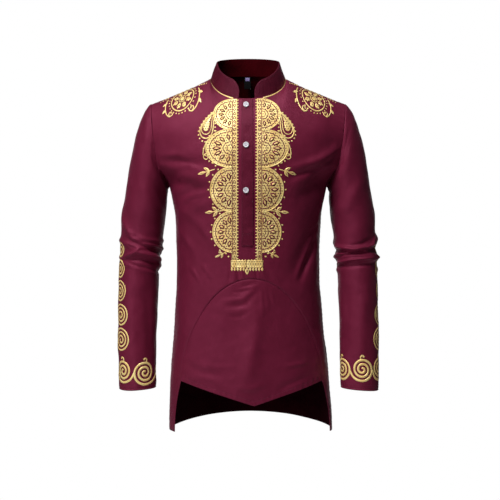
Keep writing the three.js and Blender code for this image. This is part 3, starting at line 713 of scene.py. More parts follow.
def makeBack():
    # Rows run from the arched hem to the armpit's level and from there, finer, to the top.
    share = np.linspace(-1, 1, backMesh["across"] + 1)
    lower = mix(backHem(share), body["armpitLevel"], np.linspace(0, 1, backMesh["below"] + 1)[:-1, None])
    upper = np.linspace(body["armpitLevel"], body["topLevel"], backMesh["above"] + 1)[:, None]
    level = np.concatenate([lower, upper + 0 * share])
    share = np.broadcast_to(share, level.shape)
    quads, _ = gridQuads(*level.shape)
    flat = stacked(share * body["halfGirth"], level).reshape(-1, 2)
    # above this level the inside takes slot 3, the one after the outer face's: the collar's inside colour,
    # painted light where light reaches in through the neck
    rows = np.repeat(np.arange(len(level) - 1), level.shape[1] - 1)
    slots = np.where(level[rows, 0] > body["paintedLightFoot"], 2, 0)
    made = makeMesh(
        "back_body_cloth", backCloth(share, level).reshape(-1, 3), quads[:, ::-1],
        [wineCloth, paintedShadeInside, wineCloth, paintedShadeCollarInside], flat, slots=slots)
    return dress(thicken(made, body["clothWall"], inner=1), "back_body")


frontPiece, lowerPiece, backPiece = makeFront(), makeLowerFront(), makeBack()
print("body panels made")


# Sleeves
sleeve = {
    "axis": np.array([0.976, 0.0, -0.217]), "headTop": 75.0, "headFoot": 20.0, "armRadius": 50.0,
    "around": 116, "along": 285, "length": 580.0, "elbow": (235, 345), "elbowShare": 0.36,
    "elbowFrom": 0.256, "hemFrom": 0.965, "hemRows": 6.0, "leftSeed": 21, "rightSeed": 31,
    "hem": 4.2, "hemEdge": 2.6, "rightCuffIn": 3.2, "rightCuffRise": 3.0,
    # rings: run, x, y, z, halfX, halfY, tilt
    "rings": np.array([
        (85, 212, 3, -186, 73, 63, 62), (165, 224, 5, -262, 50.5, 61, 28), (225, 232, 6, -320, 47, 59, 9),
        (290, 237.5, 5, -385, 45, 56, 2), (350, 240.5, -2, -445, 43.5, 52, 0),
        (450, 242, -17, -545, 42.5, 45, 0), (580, 241.8, -36, -677, 41.5, 38, -4),
    ], float),
    # folds: from angle, z; via angle, z; to angle, z; width; depth. 0 is the outer side, 90 the front.
    "rightFolds": [
        (24, -306, 74, -351, 184, -368, 7, 5), (60, -352, 100, -367, 176, -378, 5, -4),
        (8, -352, 84, -371, 120, -368, 6, 4), (48, -390, 88, -378, 184, -400, 6.5, 4.5),
        (40, -400, 80, -394, 150, -404, 5, -3.5), (-6, -392, 60, -404, 150, -424, 8, 3.5),
        (196, -380, 262, -366, 334, -352, 9, 4), (200, -408, 268, -402, 338, -388, 9, 4),
        # finer creases
        (62, -342, 102, -357, 178, -367, 4.2, -3.4), (85, -361, 120, -366, 184, -372, 3.2, 3),
        (55, -364, 70, -369, 88, -374, 2.8, -2.4), (68, -388, 80, -380, 92, -373, 3.2, 2.6),
        (40, -393, 88, -382, 172, -398, 4.6, 3.6), (95, -376, 130, -378, 182, -384, 3.6, -3),
        (38, -396, 92, -411, 162, -424, 4.6, -4), (148, -404, 172, -410, 204, -411, 5.5, 3.6),
        (165, -352, 182, -356, 204, -356, 4.5, 3), (165, -373, 184, -374, 204, -374, 4, 2.6),
        (165, -388, 184, -389, 204, -389, 3.6, -2.4), (160, -420, 184, -424, 206, -423, 4, -2.6),
        (-22, -352, 4, -356, 30, -352, 6, 2.2), (-24, -396, 4, -399, 30, -397, 5, -2.4),
        (205, -372, 262, -362, 330, -350, 4, 2.6), (205, -386, 265, -379, 330, -367, 3.6, -2.6),
        (210, -398, 270, -392, 332, -384, 3.8, 2.6), (-40, -372, -16, -380, 14, -384, 5, -2.2),
        (70, -230, 96, -262, 130, -300, 12, 3), (110, -220, 136, -250, 160, -290, 11, -3),
        (-30, -250, 0, -290, 30, -330, 13, 2.5), (60, -450, 76, -520, 84, -600, 14, 2),
        (120, -450, 128, -520, 136, -590, 13, -2), (240, -470, 262, -540, 250, -620, 15, 2.5),
    ],
    "leftFolds": [
        (186, -363, 104, -374, 36, -364, 4.6, 4.6), (40, -366, 6, -350, -40, -338, 8, 5),
        (170, -378, 110, -382, 30, -377, 4.4, -3.4), (182, -391, 96, -386, -4, -391, 5.5, 3.4),
        (160, -406, 84, -398, -2, -394, 6, 4), (160, -413, 90, -408, 20, -402, 5, -3.5),
        (196, -372, 258, -362, 330, -346, 9, 4), (198, -400, 262, -396, 336, -382, 9, 4),
        # finer creases
        (182, -369, 100, -374, 56, -370, 3, 3.2), (62, -371, 42, -363, 24, -345, 3, 3.2),
        (178, -375, 150, -380, 120, -380, 2.6, -3.2), (104, -366, 76, -362, 48, -351, 4.5, -2.8),
        (56, -376, 40, -375, 20, -367, 5, -5), (184, -388, 121, -381, 86, -375, 3, 4),
        (152, -391, 104, -383, 60, -381, 3, -4), (80, -376.5, 57, -380, 12, -391, 3, 2.2),
        (174, -407, 110, -397, 48, -392.5, 3, 4), (170, -412, 114, -402.5, 58, -398, 2.8, -4.4),
        (164, -391, 186, -392, 208, -391, 4, 4), (26, -392, 8, -392, -22, -391, 4, 4),
        (164, -420, 186, -420, 208, -420, 5, 2.6), (22, -417, 4, -418, -22, -417, 6, 2.4),
        (164, -355, 186, -358, 208, -357, 7, 2.6), (164, -376, 186, -376, 208, -376, 4, -3),
        (168, -403, 186, -405, 204, -405, 4, -2.6), (24, -371, 6, -373, -16, -373, 6, -3),
        (205, -368, 262, -356, 328, -342, 4, 2.6), (205, -384, 262, -377, 328, -362, 3.6, -2.6),
        (208, -396, 266, -390, 330, -377, 3.8, 2.6),
        (60, -228, 88, -262, 120, -300, 12, 3), (104, -218, 130, -248, 156, -288, 11, -3),
        (-34, -246, -4, -288, 26, -326, 13, 2.5), (70, -440, 84, -520, 92, -600, 14, 2.2),
        (126, -450, 132, -520, 140, -590, 13, -2), (236, -468, 256, -540, 246, -618, 15, 2.5),
    ],
}
armholeLevels = np.append(np.linspace(-237, -130, 6)[:-1], np.linspace(-130, -55.2, 7))


def armholePoints(angle):
    # The armhole seam from the shoulder at 0 by the front and the armpit at 180 to the back.
    turn = np.mod(angle, 360)
    place = np.abs(180 - turn) / 180 * (len(armholeLevels) - 1)
    level = np.interp(place, np.arange(len(armholeLevels)), armholeLevels)
    ends = np.ones_like(level)
    ahead, behind = panelPoints(front, ends, level), panelPoints(back, ends, level)
    return np.where((turn <= 180)[..., None], ahead, behind)


def sleevePoints(folds, angle, run):
    # For each angle a smooth line runs from the armhole through the tilted ellipses of the rings to the cuff;
    # it leaves the armhole halfway between its chord and the arm's direction. Folds push it straight out.
    angle, run = np.broadcast_arrays(angle, run)
    shape, angle, run = angle.shape, angle.ravel(), run.ravel()
    rad = np.radians(angle)
    rings = sleeve["rings"][:, :, None]
    tilt, out = np.radians(rings[:, 6]), rings[:, 4] * np.cos(rad)
    ringPoints = stacked(
        rings[:, 1] + out * np.cos(tilt),
        rings[:, 2] - rings[:, 5] * np.sin(rad),
        rings[:, 3] + out * np.sin(tilt),
    )
    knots = np.append(0, sleeve["rings"][:, 0])
    head = mix(sleeve["headFoot"], sleeve["headTop"], (1 + np.cos(rad)) / 2) / knots[1]
    leave = lambda chord: (chord + sleeve["axis"] * head[None, :, None]) / 2
    points = np.concatenate([armholePoints(angle)[None], ringPoints])
    point = smoothLine(knots, points, run, leave)
    turn = np.mod(angle + 60, 360) - 60
    scale = math.radians(1) * sleeve["armRadius"]
    scaled = [(a * scale, za, b * scale, zb, c * scale, zc, *size) for a, za, b, zb, c, zc, *size in folds]
    height = foldHeights(scaled, turn * scale, point[:, 2])
    point = point + stacked(np.cos(rad), -np.sin(rad), 0 * rad) * height[:, None]
    return point.reshape(*shape, 3)


def sleeveRelief(seed, angle, run):
    # The head stands a little proud beside the armhole, the hem is turned in, and slow and fine unevenness
    # along the arm closes on itself.
    rad = np.radians(angle)
    u, w = np.cos(rad) * 48, np.sin(rad) * 48
    soft = unevenness(u + run * 0.35, w - run, seed, 80, 0.7)
    soft = soft + unevenness(u - run * 0.2, w + run, seed + 1, 30, 0.2)
    head = -0.06 * bell(run, 1.4) + 0.25 * bell(run - 6, 5)
    pucker = 0.25 * np.sin(angle / 2.1 + np.sin(angle / 9)) * bell(run - 8, 9)
    fromEnd = sleeve["length"] - run
    turnedIn = 2.2 * (1 - edgeRound(fromEnd, sleeve["hemEdge"])) + 0.8 * bell(fromEnd - sleeve["hem"], 1.0)
    if seed == sleeve["rightSeed"]:      # the right cuff is drawn in at its outer side
        outer = np.clip((run - 490) / 80, 0, 1) * np.maximum(np.cos(rad), 0)
        turnedIn = turnedIn + sleeve["rightCuffIn"] * outer
    return soft * np.clip(run / 20, 0, 1) + head + pucker - turnedIn


def sleeveCloth(side, angle, run, lift=0.0):
    folds = sleeve["leftFolds"] if side > 0 else sleeve["rightFolds"]
    surface = lambda a, r: sleevePoints(folds, a, r)
    relief = lambda a, r: sleeveRelief(sleeve["leftSeed"] if side > 0 else sleeve["rightSeed"], a, r)
    point = lifted(surface, relief, angle, run, lift, (0.3, 0.3), 1)
    if side < 0:        # the right cuff's outer corner stands a little higher
        corner = np.maximum(np.cos(np.radians(angle)), 0) ** 2 * np.clip((run - 530) / 50, 0, 1)
        point[..., 2] += sleeve["rightCuffRise"] * corner
    return point * np.array([side, 1, 1])


def makeSleeve(side):
    angle = np.linspace(0, 360, sleeve["around"] + 1)
    # rows stand closer at the elbow and at the hem
    shares = [0, sleeve["elbowFrom"], sleeve["elbowFrom"] + sleeve["elbowShare"], sleeve["hemFrom"], 1]
    runs = [0, *sleeve["elbow"], sleeve["length"] - sleeve["hemRows"], sleeve["length"]]
    run = np.interp(np.linspace(0, 1, sleeve["along"] + 1), shares, runs)[:, None]
    points = sleeveCloth(side, angle[:-1], run)
    quads, uvQuads = gridQuads(len(run), len(angle), closed=True)
    flat = stacked(np.radians(angle) * sleeve["armRadius"], np.broadcast_to(-run, (len(run), len(angle))))
    turn = slice(None, None, side)
    name = "left" if side > 0 else "right"
    made = makeMesh(
        f"sleeve_{name}_cloth", points.reshape(-1, 3), quads[:, turn], [wineCloth, paintedShadeInside],
        flat.reshape(-1, 2), uvQuads[:, turn])
    return dress(thicken(made, body["clothWall"], inner=1), f"sleeve_{name}")


sleevePieces = {side: makeSleeve(side) for side in (-1, 1)}
print("sleeves made")


# Pieces with a soft rounded edge
def roundedSheet(name, outer, inner, materials, flat):
    # Two grids of the same shape that share their border points: the outer one looks out, the inner one in.
    rows, columns = outer.shape[:2]
    quads, _ = gridQuads(rows, columns)
    count = rows * columns
    border = np.ones((rows, columns), bool)
    border[1:-1, 1:-1] = False
    own = np.full(count, -1)
    free = np.flatnonzero(~border.ravel())
    own[free] = count + np.arange(len(free))
    own[border.ravel()] = np.flatnonzero(border.ravel())
    points = np.concatenate([outer.reshape(-1, 3), inner.reshape(-1, 3)[free]])
    uv = np.concatenate([flat.reshape(-1, 2), flat.reshape(-1, 2)[free]])
    both = np.concatenate([quads, own[quads][:, ::-1]])
    slots = np.repeat([0, len(materials) - 1], len(quads))
    return makeMesh(name, points, both, materials, uv, slots=slots)


# Collar
collar = {
    "height": 39.0, "frontRightX": 20.0, "frontLeftX": 14.5, "cornerRadius": 27.0,
    "leanSide": 14.0, "leanFront": 9.0, "leanBack": 8.0, "across": 220, "rows": 30,
    "outside": -0.2, "inside": -3.0, "edgeRadius": 1.6, "rise": -1.0, "stitchIn": 3.0,
}
collarEnds = {
    side: 180 - math.degrees(math.asin(collar[key] / body["neckHalfWidth"]))
    for side, key in ((-1, "frontRightX"), (1, "frontLeftX"))
}


def fromCollarEnd(turn):
    # Distance from the nearer front end, along the neckline.
    end = np.where(turn < 0, collarEnds[-1], collarEnds[1])
    return np.radians(end - np.abs(turn)) * body["neckHalfWidth"]


def collarPoints(turn, share):
    # Turn 0 is the middle of the back, 180 and -180 the front. The neckline's ellipse narrows and leans in
    # with the share of the height.
    side, depth = np.sin(np.radians(turn)), np.abs(np.cos(np.radians(turn)))
    ahead = np.abs(turn) > 90
    neckY = np.where(ahead, front["neckY"], back["neckY"])
    neckZ = np.where(ahead, front["neckZ"], back["neckZ"])
    lean = np.where(ahead, collar["leanFront"], collar["leanBack"])
    return stacked(
        side * (body["neckHalfWidth"] - collar["leanSide"] * share),
        depth * (neckY - np.sign(neckY) * lean * share),
        depth * neckZ + collar["height"] * share + collar["rise"],
    )


def collarTop(turn):
    # The top edge runs down in a quarter round at each front end.
    short = np.clip(collar["cornerRadius"] - fromCollarEnd(turn), 0, collar["cornerRadius"])
    drop = collar["cornerRadius"] - np.sqrt(np.maximum(collar["cornerRadius"] ** 2 - short**2, 0))
    return 1 - drop / collar["height"]


def onCollar(turn, share, lift):
    # The normal is kept level, so that the foot and the rim stay level too.
    along = collarPoints(turn + 0.1, share) - collarPoints(turn - 0.1, share)
    out = unit(stacked(along[..., 1], -along[..., 0], 0 * turn))
    inward = np.sign((out * collarPoints(turn, share)).sum(-1, keepdims=True))
    soft = unevenness(turn * 1.4, share * 38, 51, 46, 0.5) + unevenness(turn * 1.4, share * 38, 52, 8, 0.11)
    push = lift + soft * np.sin(math.pi * np.clip(share, 0, 1))
    return collarPoints(turn, share) + out * inward * push[..., None]


def makeCollar():
    turn = mix(-collarEnds[-1], collarEnds[1], edgeSteps(collar["across"] + 1, 0.75))
    rows = edgeSteps(collar["rows"] + 1, 0.8)[:, None]
    share = rows * collarTop(turn)
    turn = np.broadcast_to(turn, share.shape)
    high = (1 - rows) * collarTop(turn) * collar["height"]
    full = edgeRound(np.minimum(high, fromCollarEnd(turn)), collar["edgeRadius"])
    middle, half = (collar["outside"] + collar["inside"]) / 2, (collar["outside"] - collar["inside"]) / 2
    outer = onCollar(turn, share, middle + half * full)
    inner = onCollar(turn, share, middle - half * full)
    flat = stacked(np.radians(turn) * body["neckHalfWidth"], share * collar["height"])
    outer, inner, flat = outer[:, ::-1], inner[:, ::-1], flat[:, ::-1]
    # both faces carry painted shade: the outer the collar's darker copy of the cloth, the inner the collar's
    # inside shade
    made = roundedSheet("collar_stand_cloth", outer, inner, [paintedShadeCollarCloth, paintedShadeCollarInside], flat)
    return dress(made, "collar_stand")


collarPiece = makeCollar()
print("collar made")


# Placket
placket = {
    "width": 25.0, "centreX": -1.5, "topZ": -54.0, "footZ": -368.0, "boxZ": -341.5, "lift": 0.5, "wall": 1.3,
    "edgeRadius": 1.0,
}


def placketCloth(x, z, lift):
    share, level = frontPlace(x, z)
    wave = unevenness(x, z, 71, 60, 0.35) + unevenness(x * 0.6, z, 73, 20, 0.16)
    point = frontCloth(share, level, lift)
    return point + stacked(0 * x, -wave, 0 * x)


def makePlacket():
    across = edgeSteps(19, 0.7)
    down = edgeSteps(161, 0.6)[:, None]
    x = placket["centreX"] + (across - 0.5) * placket["width"]
    z = mix(placket["footZ"], placket["topZ"], down)
    x, z = np.broadcast_arrays(x, z)
    edge = np.minimum(x - x.min(), x.max() - x)
    edge = np.minimum(edge, np.minimum(z - z.min(), z.max() - z))
    full = edgeRound(edge, placket["edgeRadius"])
    outer = placketCloth(x, z, placket["lift"] + placket["wall"] * full)
    inner = placketCloth(x, z, placket["lift"] - 0.2 + 0 * full)
    # the placket is in the band's copy of the cloth, darkened as painted shade
    made = roundedSheet("placket_cloth", outer, inner, [paintedShadeBand], stacked(x, z))
    return dress(made, "placket")


placketPiece = makePlacket()
print("placket made")


# Buttons
button = {
    "radius": 5.9, "thickness": 2.4, "rim": 1.5, "rimStep": 0.8, "dish": 0.75,
    "edgeRadius": 0.9, "faceDrop": 0.6, "footRise": 0.5,
    "holeRadius": 0.85, "holeSpread": 1.6, "holeOut": 2.2624, "arcSteps": 32, "sideSteps": 16,
    "x": -4.4, "heights": (-67.5, -155.6, -250.6), "stand": 2.6, "holeSpan": 8.4, "faceFront": 0.4,
}


def buttonFrame(height):
    # The button's place and its three directions: across, up and out of the placket.
    x, z = np.array([button["x"]]), np.array([height])
    place = placketCloth(x, z, button["stand"])[0]
    across = unit(placketCloth(x + 4, z, 2.0) - placketCloth(x - 4, z, 2.0))[0]
    up = unit(placketCloth(x, z + 4, 2.0) - placketCloth(x, z - 4, 2.0))[0]
    out = unit(mix(unit(np.cross(across, up)), np.array([0, -1, 0]), button["faceFront"]))
    across = unit(across - out * (out @ across))
    return place, across, np.cross(out, across), out


def buttonProfile(radius):
    # Height of the face over the radius: a dished middle, a rim and a rounded outer edge.
    rim = np.clip((radius - button["radius"] + button["rim"]) / button["rimStep"] + 1, 0, 1)
    dish = button["dish"] * (1 - rim**2 * (3 - 2 * rim))
    return button["thickness"] - dish - button["faceDrop"] * besideEdge(radius)


def besideEdge(radius):
    # 1 at the outline and nought from the rounded edge's radius inwards.
    return 1 - edgeRound(button["radius"] - radius, button["edgeRadius"])


def makeButton(number, height):
    # Four sectors, each a grid from the rim of its thread hole to the button's outline, on the face and the
    # foot.
    place, across, up, out = buttonFrame(height)
    rings = edgeSteps(12, 0.6)
    sideSteps, arcSteps = button["sideSteps"], button["arcSteps"]
    points, quads, count = [], [], 0
    for start in np.arange(4) * math.pi / 2:
        centre = direction(start + math.pi / 4) * button["holeOut"]
        # the sector's border: two straight sides from the middle and an arc of the outline between them
        turn = np.linspace(start, start + math.pi / 2, arcSteps + 1)
        arc = stacked(np.cos(turn), np.sin(turn)) * button["radius"]
        outward = np.linspace(0, 1, sideSteps + 1)[:-1, None] * arc[0]
        inward = np.linspace(1, 0, sideSteps + 1)[1:, None] * arc[-1]
        border = np.concatenate([outward, arc, inward])
        bearing = np.arctan2(*(border - centre).T[::-1])
        hole = centre + stacked(np.cos(bearing), np.sin(bearing)) * button["holeRadius"]
        plan = mix(hole, border, rings[:, None, None])
        radius = np.hypot(plan[..., 0], plan[..., 1])
        foot = button["footRise"] * besideEdge(radius)
        plan = np.concatenate([plan, plan[::-1]])
        high = np.concatenate([buttonProfile(radius), foot[::-1]])
        solid = place + plan[..., :1] * across + plan[..., 1:] * up + high[..., None] * out
        rows, columns = solid.shape[:2]
        points.append(np.concatenate([solid, solid[:1]]).reshape(-1, 3))
        # the sectors join along their straight sides, so no wall stands there between face and foot
        index, _ = gridQuads(rows + 1, columns)
        row, column = np.divmod(np.arange(len(index)), columns - 1)
        inside = (row == len(rings) - 1) & ~between(column, sideSteps, sideSteps + arcSteps - 1)
        quads.append(index[~inside] + count)
        count += (rows + 1) * columns
    points, quads = np.concatenate(points), np.concatenate(quads)[:, ::-1]
    made = makeMesh(f"button_{number}_resin", points, quads, [resinWhite])
    weld = made.modifiers.new("joins", "WELD")
    weld.merge_threshold = 0.00001
    return dress(made, f"button_{number}")


def tubePoints(line, radius, sides, hint):
    # A round tube along a line: two directions across it, taken from the line's own direction and a hint.
    along = unit(np.gradient(line, axis=0))
    first = unit(np.cross(along, hint))
    second = np.cross(along, first)
    turn = np.linspace(0, 2 * math.pi, sides, endpoint=False)
    return (
        line[:, None]
        + np.cos(turn)[None, :, None] * first[:, None] * radius[:, None, None]
        + np.sin(turn)[None, :, None] * second[:, None] * radius[:, None, None]
    )


threadEnd = 0.4        # radius at a thread's ends, against the rest


def threadPiece(name, lines, radius, sides, hint, material):
    # Every thread is a narrowing tube with an even number of sides, so that quads close its two ends.
    points, quads, count = [], [], 0
    cap = np.array([(0, k, k + 1, k + 2) for k in range(1, sides - 1, 2)])
    for line in lines:
        taper = np.full(len(line), radius)
        taper[[0, -1]] = radius * threadEnd
        tube = tubePoints(line, taper, sides, hint)
        index, _ = gridQuads(len(line), sides + 1, closed=True)
        points.append(tube.reshape(-1, 3))
        quads += [index + count, cap[:, ::-1] + count, cap + count + (len(line) - 1) * sides]
        count += len(line) * sides
    made = makeMesh(name, np.concatenate(points), np.concatenate(quads), [material])
    return made


def makeButtonThread(number, height):
    # Two strands through the holes, side by side, each a low arch over the dished face.
    place, across, up, out = buttonFrame(height)
    spread, top = button["holeSpread"], button["thickness"] - button["dish"]
    lines = []
    for side in (-1, 1):
        for strand in (-0.25, 0.25):
            t = np.linspace(-1, 1, 13)
            high = top + 0.55 * np.sqrt(1 - t**2 * 0.98) - 1.4 * np.abs(t) ** 8
            flat = across * (side * spread + strand) + up * (t * spread)[:, None]
            lines.append(place + flat + out * high[:, None])
    return threadPiece(f"button_thread_{number}", lines, 0.26, 6, across, threadWhite)


def makeButtonhole(number, height):
    # A worked hole of close bars along the placket, mostly under the button.
    reach, bow = np.linspace(0.25, 1.5, 5), 0.25 * np.sin(np.linspace(0, math.pi, 5))
    z = height + np.linspace(-button["holeSpan"], button["holeSpan"], 43)[:, None]
    lines = []
    for side in (-1, 1):
        x, z = np.broadcast_arrays(button["x"] + reach * side, z)
        lines += list(placketCloth(x, z, placket["lift"] + placket["wall"] + bow))
    return threadPiece(f"buttonhole_{number}", lines, 0.2, 4, (0, 0, 1), threadWine)


for number, height in enumerate(button["heights"], 1):
    makeButton(number, height)
    makeButtonThread(number, height)
    makeButtonhole(number, height)
print("buttons made")


# Neck label
label = {
    "width": 15.0, "height": 27.0, "centreX": -1.5, "stand": 4.0, "wall": 0.5, "below": 2.4,
    "barTop": 1.4, "barFoot": 9.6, "barLift": 0.45, "barWall": 0.15,
}


def labelPoints(x, drop, lift):
    # Hangs from the collar seam just inside the back: the neckline's ellipse, straight down with a bow.
    angle = np.arcsin(x / body["neckHalfWidth"])
    bow = 0.8 * np.sin(drop / label["height"] * math.pi)
    depth, height = back["neckY"] * np.cos(angle), back["neckZ"] * np.cos(angle)
    return stacked(x, depth - label["stand"] - lift - bow, height - label["below"] - drop)


def makeLabel():
    across, down = edgeSteps(13, 0.5), edgeSteps(19, 0.5)[:, None]
    x, drop = np.broadcast_arrays(label["centreX"] + (across - 0.5) * label["width"], down * label["height"])
    edge = np.minimum(np.minimum(x - x.min(), x.max() - x), np.minimum(drop, drop.max() - drop))
    full = edgeRound(edge, 0.6) * label["wall"] / 2
    outer, inner = labelPoints(x, drop, full), labelPoints(x, drop, -full)
    made = roundedSheet("neck_label_tape", outer, inner, [labelBlack], stacked(x, drop))
    made.data.flip_normals()
    x = label["centreX"] + np.linspace(-0.32, 0.32, 9) * label["width"]
    drop = np.linspace(label["barTop"], label["barFoot"], 5)[:, None]
    x, drop = np.broadcast_arrays(x, drop)
    quads, _ = gridQuads(*x.shape)
    points = labelPoints(x, drop, label["barLift"]).reshape(-1, 3)
    bar = makeMesh("neck_label_bar", points, quads[:, ::-1], [labelBar], stacked(x, drop).reshape(-1, 2))
    thicken(bar, label["barWall"])
    return dress(made, "neck_label")


labelPiece = makeLabel()
print("label made")


# Print: plan shapes
# A shape is a pair of edges in a flat plan (millimetres); the film between them is laid on the cloth.
def evenLine(line, step):
    return evenSteps(line, max(int(lengthsAlong(line)[-1] / step), 3))


def ribbon(line, width, step=1.8, ends="round"):
    # Both edges lie half a width off the line; round ends follow a half circle, leaf ends a sine.
    line = evenLine(np.asarray(line, float), step)
    along = unit(np.gradient(line, axis=0))
    side = stacked(-along[:, 1], along[:, 0])
    share = np.linspace(0, 1, len(line))
    if ends == "leaf":
        half = width / 2 * np.sin(math.pi * share)
    else:
        half = width / 2 * edgeRound(np.minimum(share, 1 - share) * lengthsAlong(line)[-1], width / 2)
    half = np.maximum(half, width * 0.02)[:, None]
    return line + side * half, line - side * half


def spiral(centre, radius, turns, start, inner=1.0, way=1):
    # Archimedean: the radius grows evenly with the angle from the inner one.
    t = np.linspace(0, 1, int(turns * 60))
    angle = start + way * t * turns * 2 * math.pi
    r = mix(inner, radius, t)
    return stacked(centre[0] + r * np.cos(angle), centre[1] + r * np.sin(angle))


def ring(centre, radius, width):
    turn = np.linspace(0, 2 * math.pi, 37)
    spot = stacked(np.cos(turn), np.sin(turn))
    return np.array(centre) + spot * (radius + width / 2), np.array(centre) + spot * (radius - width / 2)


def disc(centre, radius):
    t = np.linspace(0.15, math.pi - 0.15, 11)
    x, y = -np.cos(t) * radius, np.sin(t) * radius
    return stacked(centre[0] + x, centre[1] + y), stacked(centre[0] + x, centre[1] - y)


def curve(*points, count=40):
    # A Bezier curve through its first and last points, by repeated mixing.
    t = np.linspace(0, 1, count)[:, None]
    rows = [np.array(p, float) * np.ones((count, 1)) for p in points]
    while len(rows) > 1:
        rows = [mix(a, b, t) for a, b in zip(rows, rows[1:])]
    return rows[0]


def leaf(foot, bearing, length, width):
    tip = (foot[0] + length * math.cos(bearing), foot[1] + length * math.sin(bearing))
    return ribbon([foot, tip], width, step=length / 10, ends="leaf")


def flipped(shape, centreX):
    # The same shape mirrored across an upright line; the edges change places, so the film still faces out.
    other = [edge * [-1, 1] + [2 * centreX, 0] for edge in shape]
    return other[1], other[0]


film = {"lift": 0.35, "overLift": 0.5, "wall": 0.12}
gold, dotted, gap = 0, 1, 2


def inGold(edges, columns=1, lift=film["lift"]):
    return edges, columns, gold, lift


def pinHoled(edges, columns):
    return edges, columns, dotted, film["lift"]


def cutOut(edges, columns=1):
    # The cloth's own colour, laid on top of the gold.
    return edges, columns, gap, film["overLift"]


def filmPiece(name, shapes, place):
    # shapes: (pair of edges, columns, material, lift). Each becomes a grid between its edges; all are laid
    # at once.
    plans, quads, slots, lifts, count = [], [], [], [], 0
    for (edgeA, edgeB), columns, material, lift in shapes:
        plan = mix(edgeA[:, None], edgeB[:, None], np.linspace(0, 1, columns + 1)[None, :, None])
        index, _ = gridQuads(*plan.shape[:2])
        first = plan[1:, :-1] - plan[:-1, :-1]
        second = plan[:-1, 1:] - plan[:-1, :-1]
        if (first[..., 0] * second[..., 1] - first[..., 1] * second[..., 0]).sum() > 0:
            index = index[:, ::-1]
        plans.append(plan.reshape(-1, 2))
        quads.append(index + count)
        slots.append(np.full(len(index), material))
        lifts.append(np.full(plan.shape[0] * plan.shape[1], lift))
        count += plan.shape[0] * plan.shape[1]
    plan, lift = np.concatenate(plans), np.concatenate(lifts)
    points = place(plan[:, 0], plan[:, 1], lift)
    quads, slots = np.concatenate(quads), np.concatenate(slots)
    made = makeMesh(name, points, quads, [goldPlain, goldDotted, wineCloth], plan, slots=slots)
    return thicken(made, film["wall"])


# Print: chest
chest = {
    "centreX": -2.3, "gap": 21.0, "band": 10.0, "topZ": -52.5, "footZ": -399.0, "footDepth": 14.0,
    # half-medallions: centre z, width beyond the band, half height
    "medallions": [(-88.0, 40.0, 35.0), (-162.0, 56.0, 41.0), (-249.0, 46.0, 47.0), (-338.0, 41.0, 43.0)],
    # sprigs: distance beyond the band, z, bearing, size
    "sprigs": [(36, -206, 196, 24), (18, -293, 186, 25), (12, -380, 205, 17)],
    "picotEvery": 6.4, "picotReach": 3.4, "ringEvery": 9.2,
}


def medallionShapes(centreZ, width, half, x0):
    # One half-medallion growing towards -X from x0: three dark outlines and a fan of petals, veined in gold.
    turn = np.linspace(math.pi / 2, math.pi * 3 / 2, 41)
    rim = lambda share: stacked(x0 + width * share * np.cos(turn), centreZ + half * share * np.sin(turn))
    shapes = [cutOut(ribbon(rim(share), stroke)) for share, stroke in ((0.86, 1.6), (0.34, 1.6), (0.2, 1.2))]
    for bearing in np.linspace(math.pi * 0.58, math.pi * 1.42, 7):
        way = direction(bearing) * [width, half]
        foot, tip = np.array([x0, centreZ]) + way * 0.42, np.array([x0, centreZ]) + way * 0.77
        vein = [mix(foot, tip, 0.22), mix(foot, tip, 0.78)]
        shapes.append(cutOut(ribbon([foot, tip], 0.2 * half, step=1.5, ends="leaf"), 2))
        shapes.append(inGold(ribbon(vein, 0.085 * half, step=1.5, ends="leaf"), 2, film["overLift"] + 0.12))
    return shapes


def botehShapes(foot, length, width, lean):
    # A teardrop whose tip bends over: the outline, an inner outline, a seed and small beads outside.
    t = np.linspace(0, 2 * math.pi, 90)
    a, b = np.cos(t), np.sin(t) * np.sin(t / 2) ** 1.6
    up = (a + 1) / 2
    centre = np.array(foot) + np.array([0, length / 2])

    def outline(share):
        x = -b * width / 2 * share + lean * up**2.4 * share
        y = a * length / 2 * share
        return stacked(centre[0] + x, centre[1] + y)

    half, seed = len(t) // 2, outline(0.52)
    shapes = [inGold(ribbon(outline(1.0), 2.6)), inGold(ribbon(outline(0.74), 1.8))]
    shapes.append(pinHoled((seed[1:half], seed[::-1][1:half]), 4))
    for spot in evenLine(outline(1.24)[14:-14], 8.0):
        shapes.append(inGold(disc(spot, 1.7), 2))
    return shapes


def sprigShapes(foot, bearing, size):
    # A stem with a leaf at its tip, two leaves beside it and a berry on each side of its foot.
    foot = np.array(foot)
    tip = foot + size * direction(bearing)
    shapes = [inGold(ribbon([foot, tip], 1.8))]
    for turn, share, length in ((0, 0.85, 0.75), (0.75, 0.5, 0.62), (-0.75, 0.5, 0.62)):
        start, way = mix(foot, tip, share), bearing + turn
        vein = mix(start, start + size * length * direction(way), 0.25)
        shapes.append(inGold(leaf(start, way, size * length, size * 0.26), 3))
        shapes.append(cutOut(leaf(vein, way, size * length * 0.5, size * 0.055)))
    for side in (-1, 1):
        centre = foot + size * 0.62 * direction(bearing + side * 1.5)
        shapes.append(inGold(disc(centre, size * 0.11), 3))
    return shapes


def upright(x, top, foot):
    return [(x, top), (x, foot)]


def crosswise(z, start, end):
    return [(start, z), (end, z)]


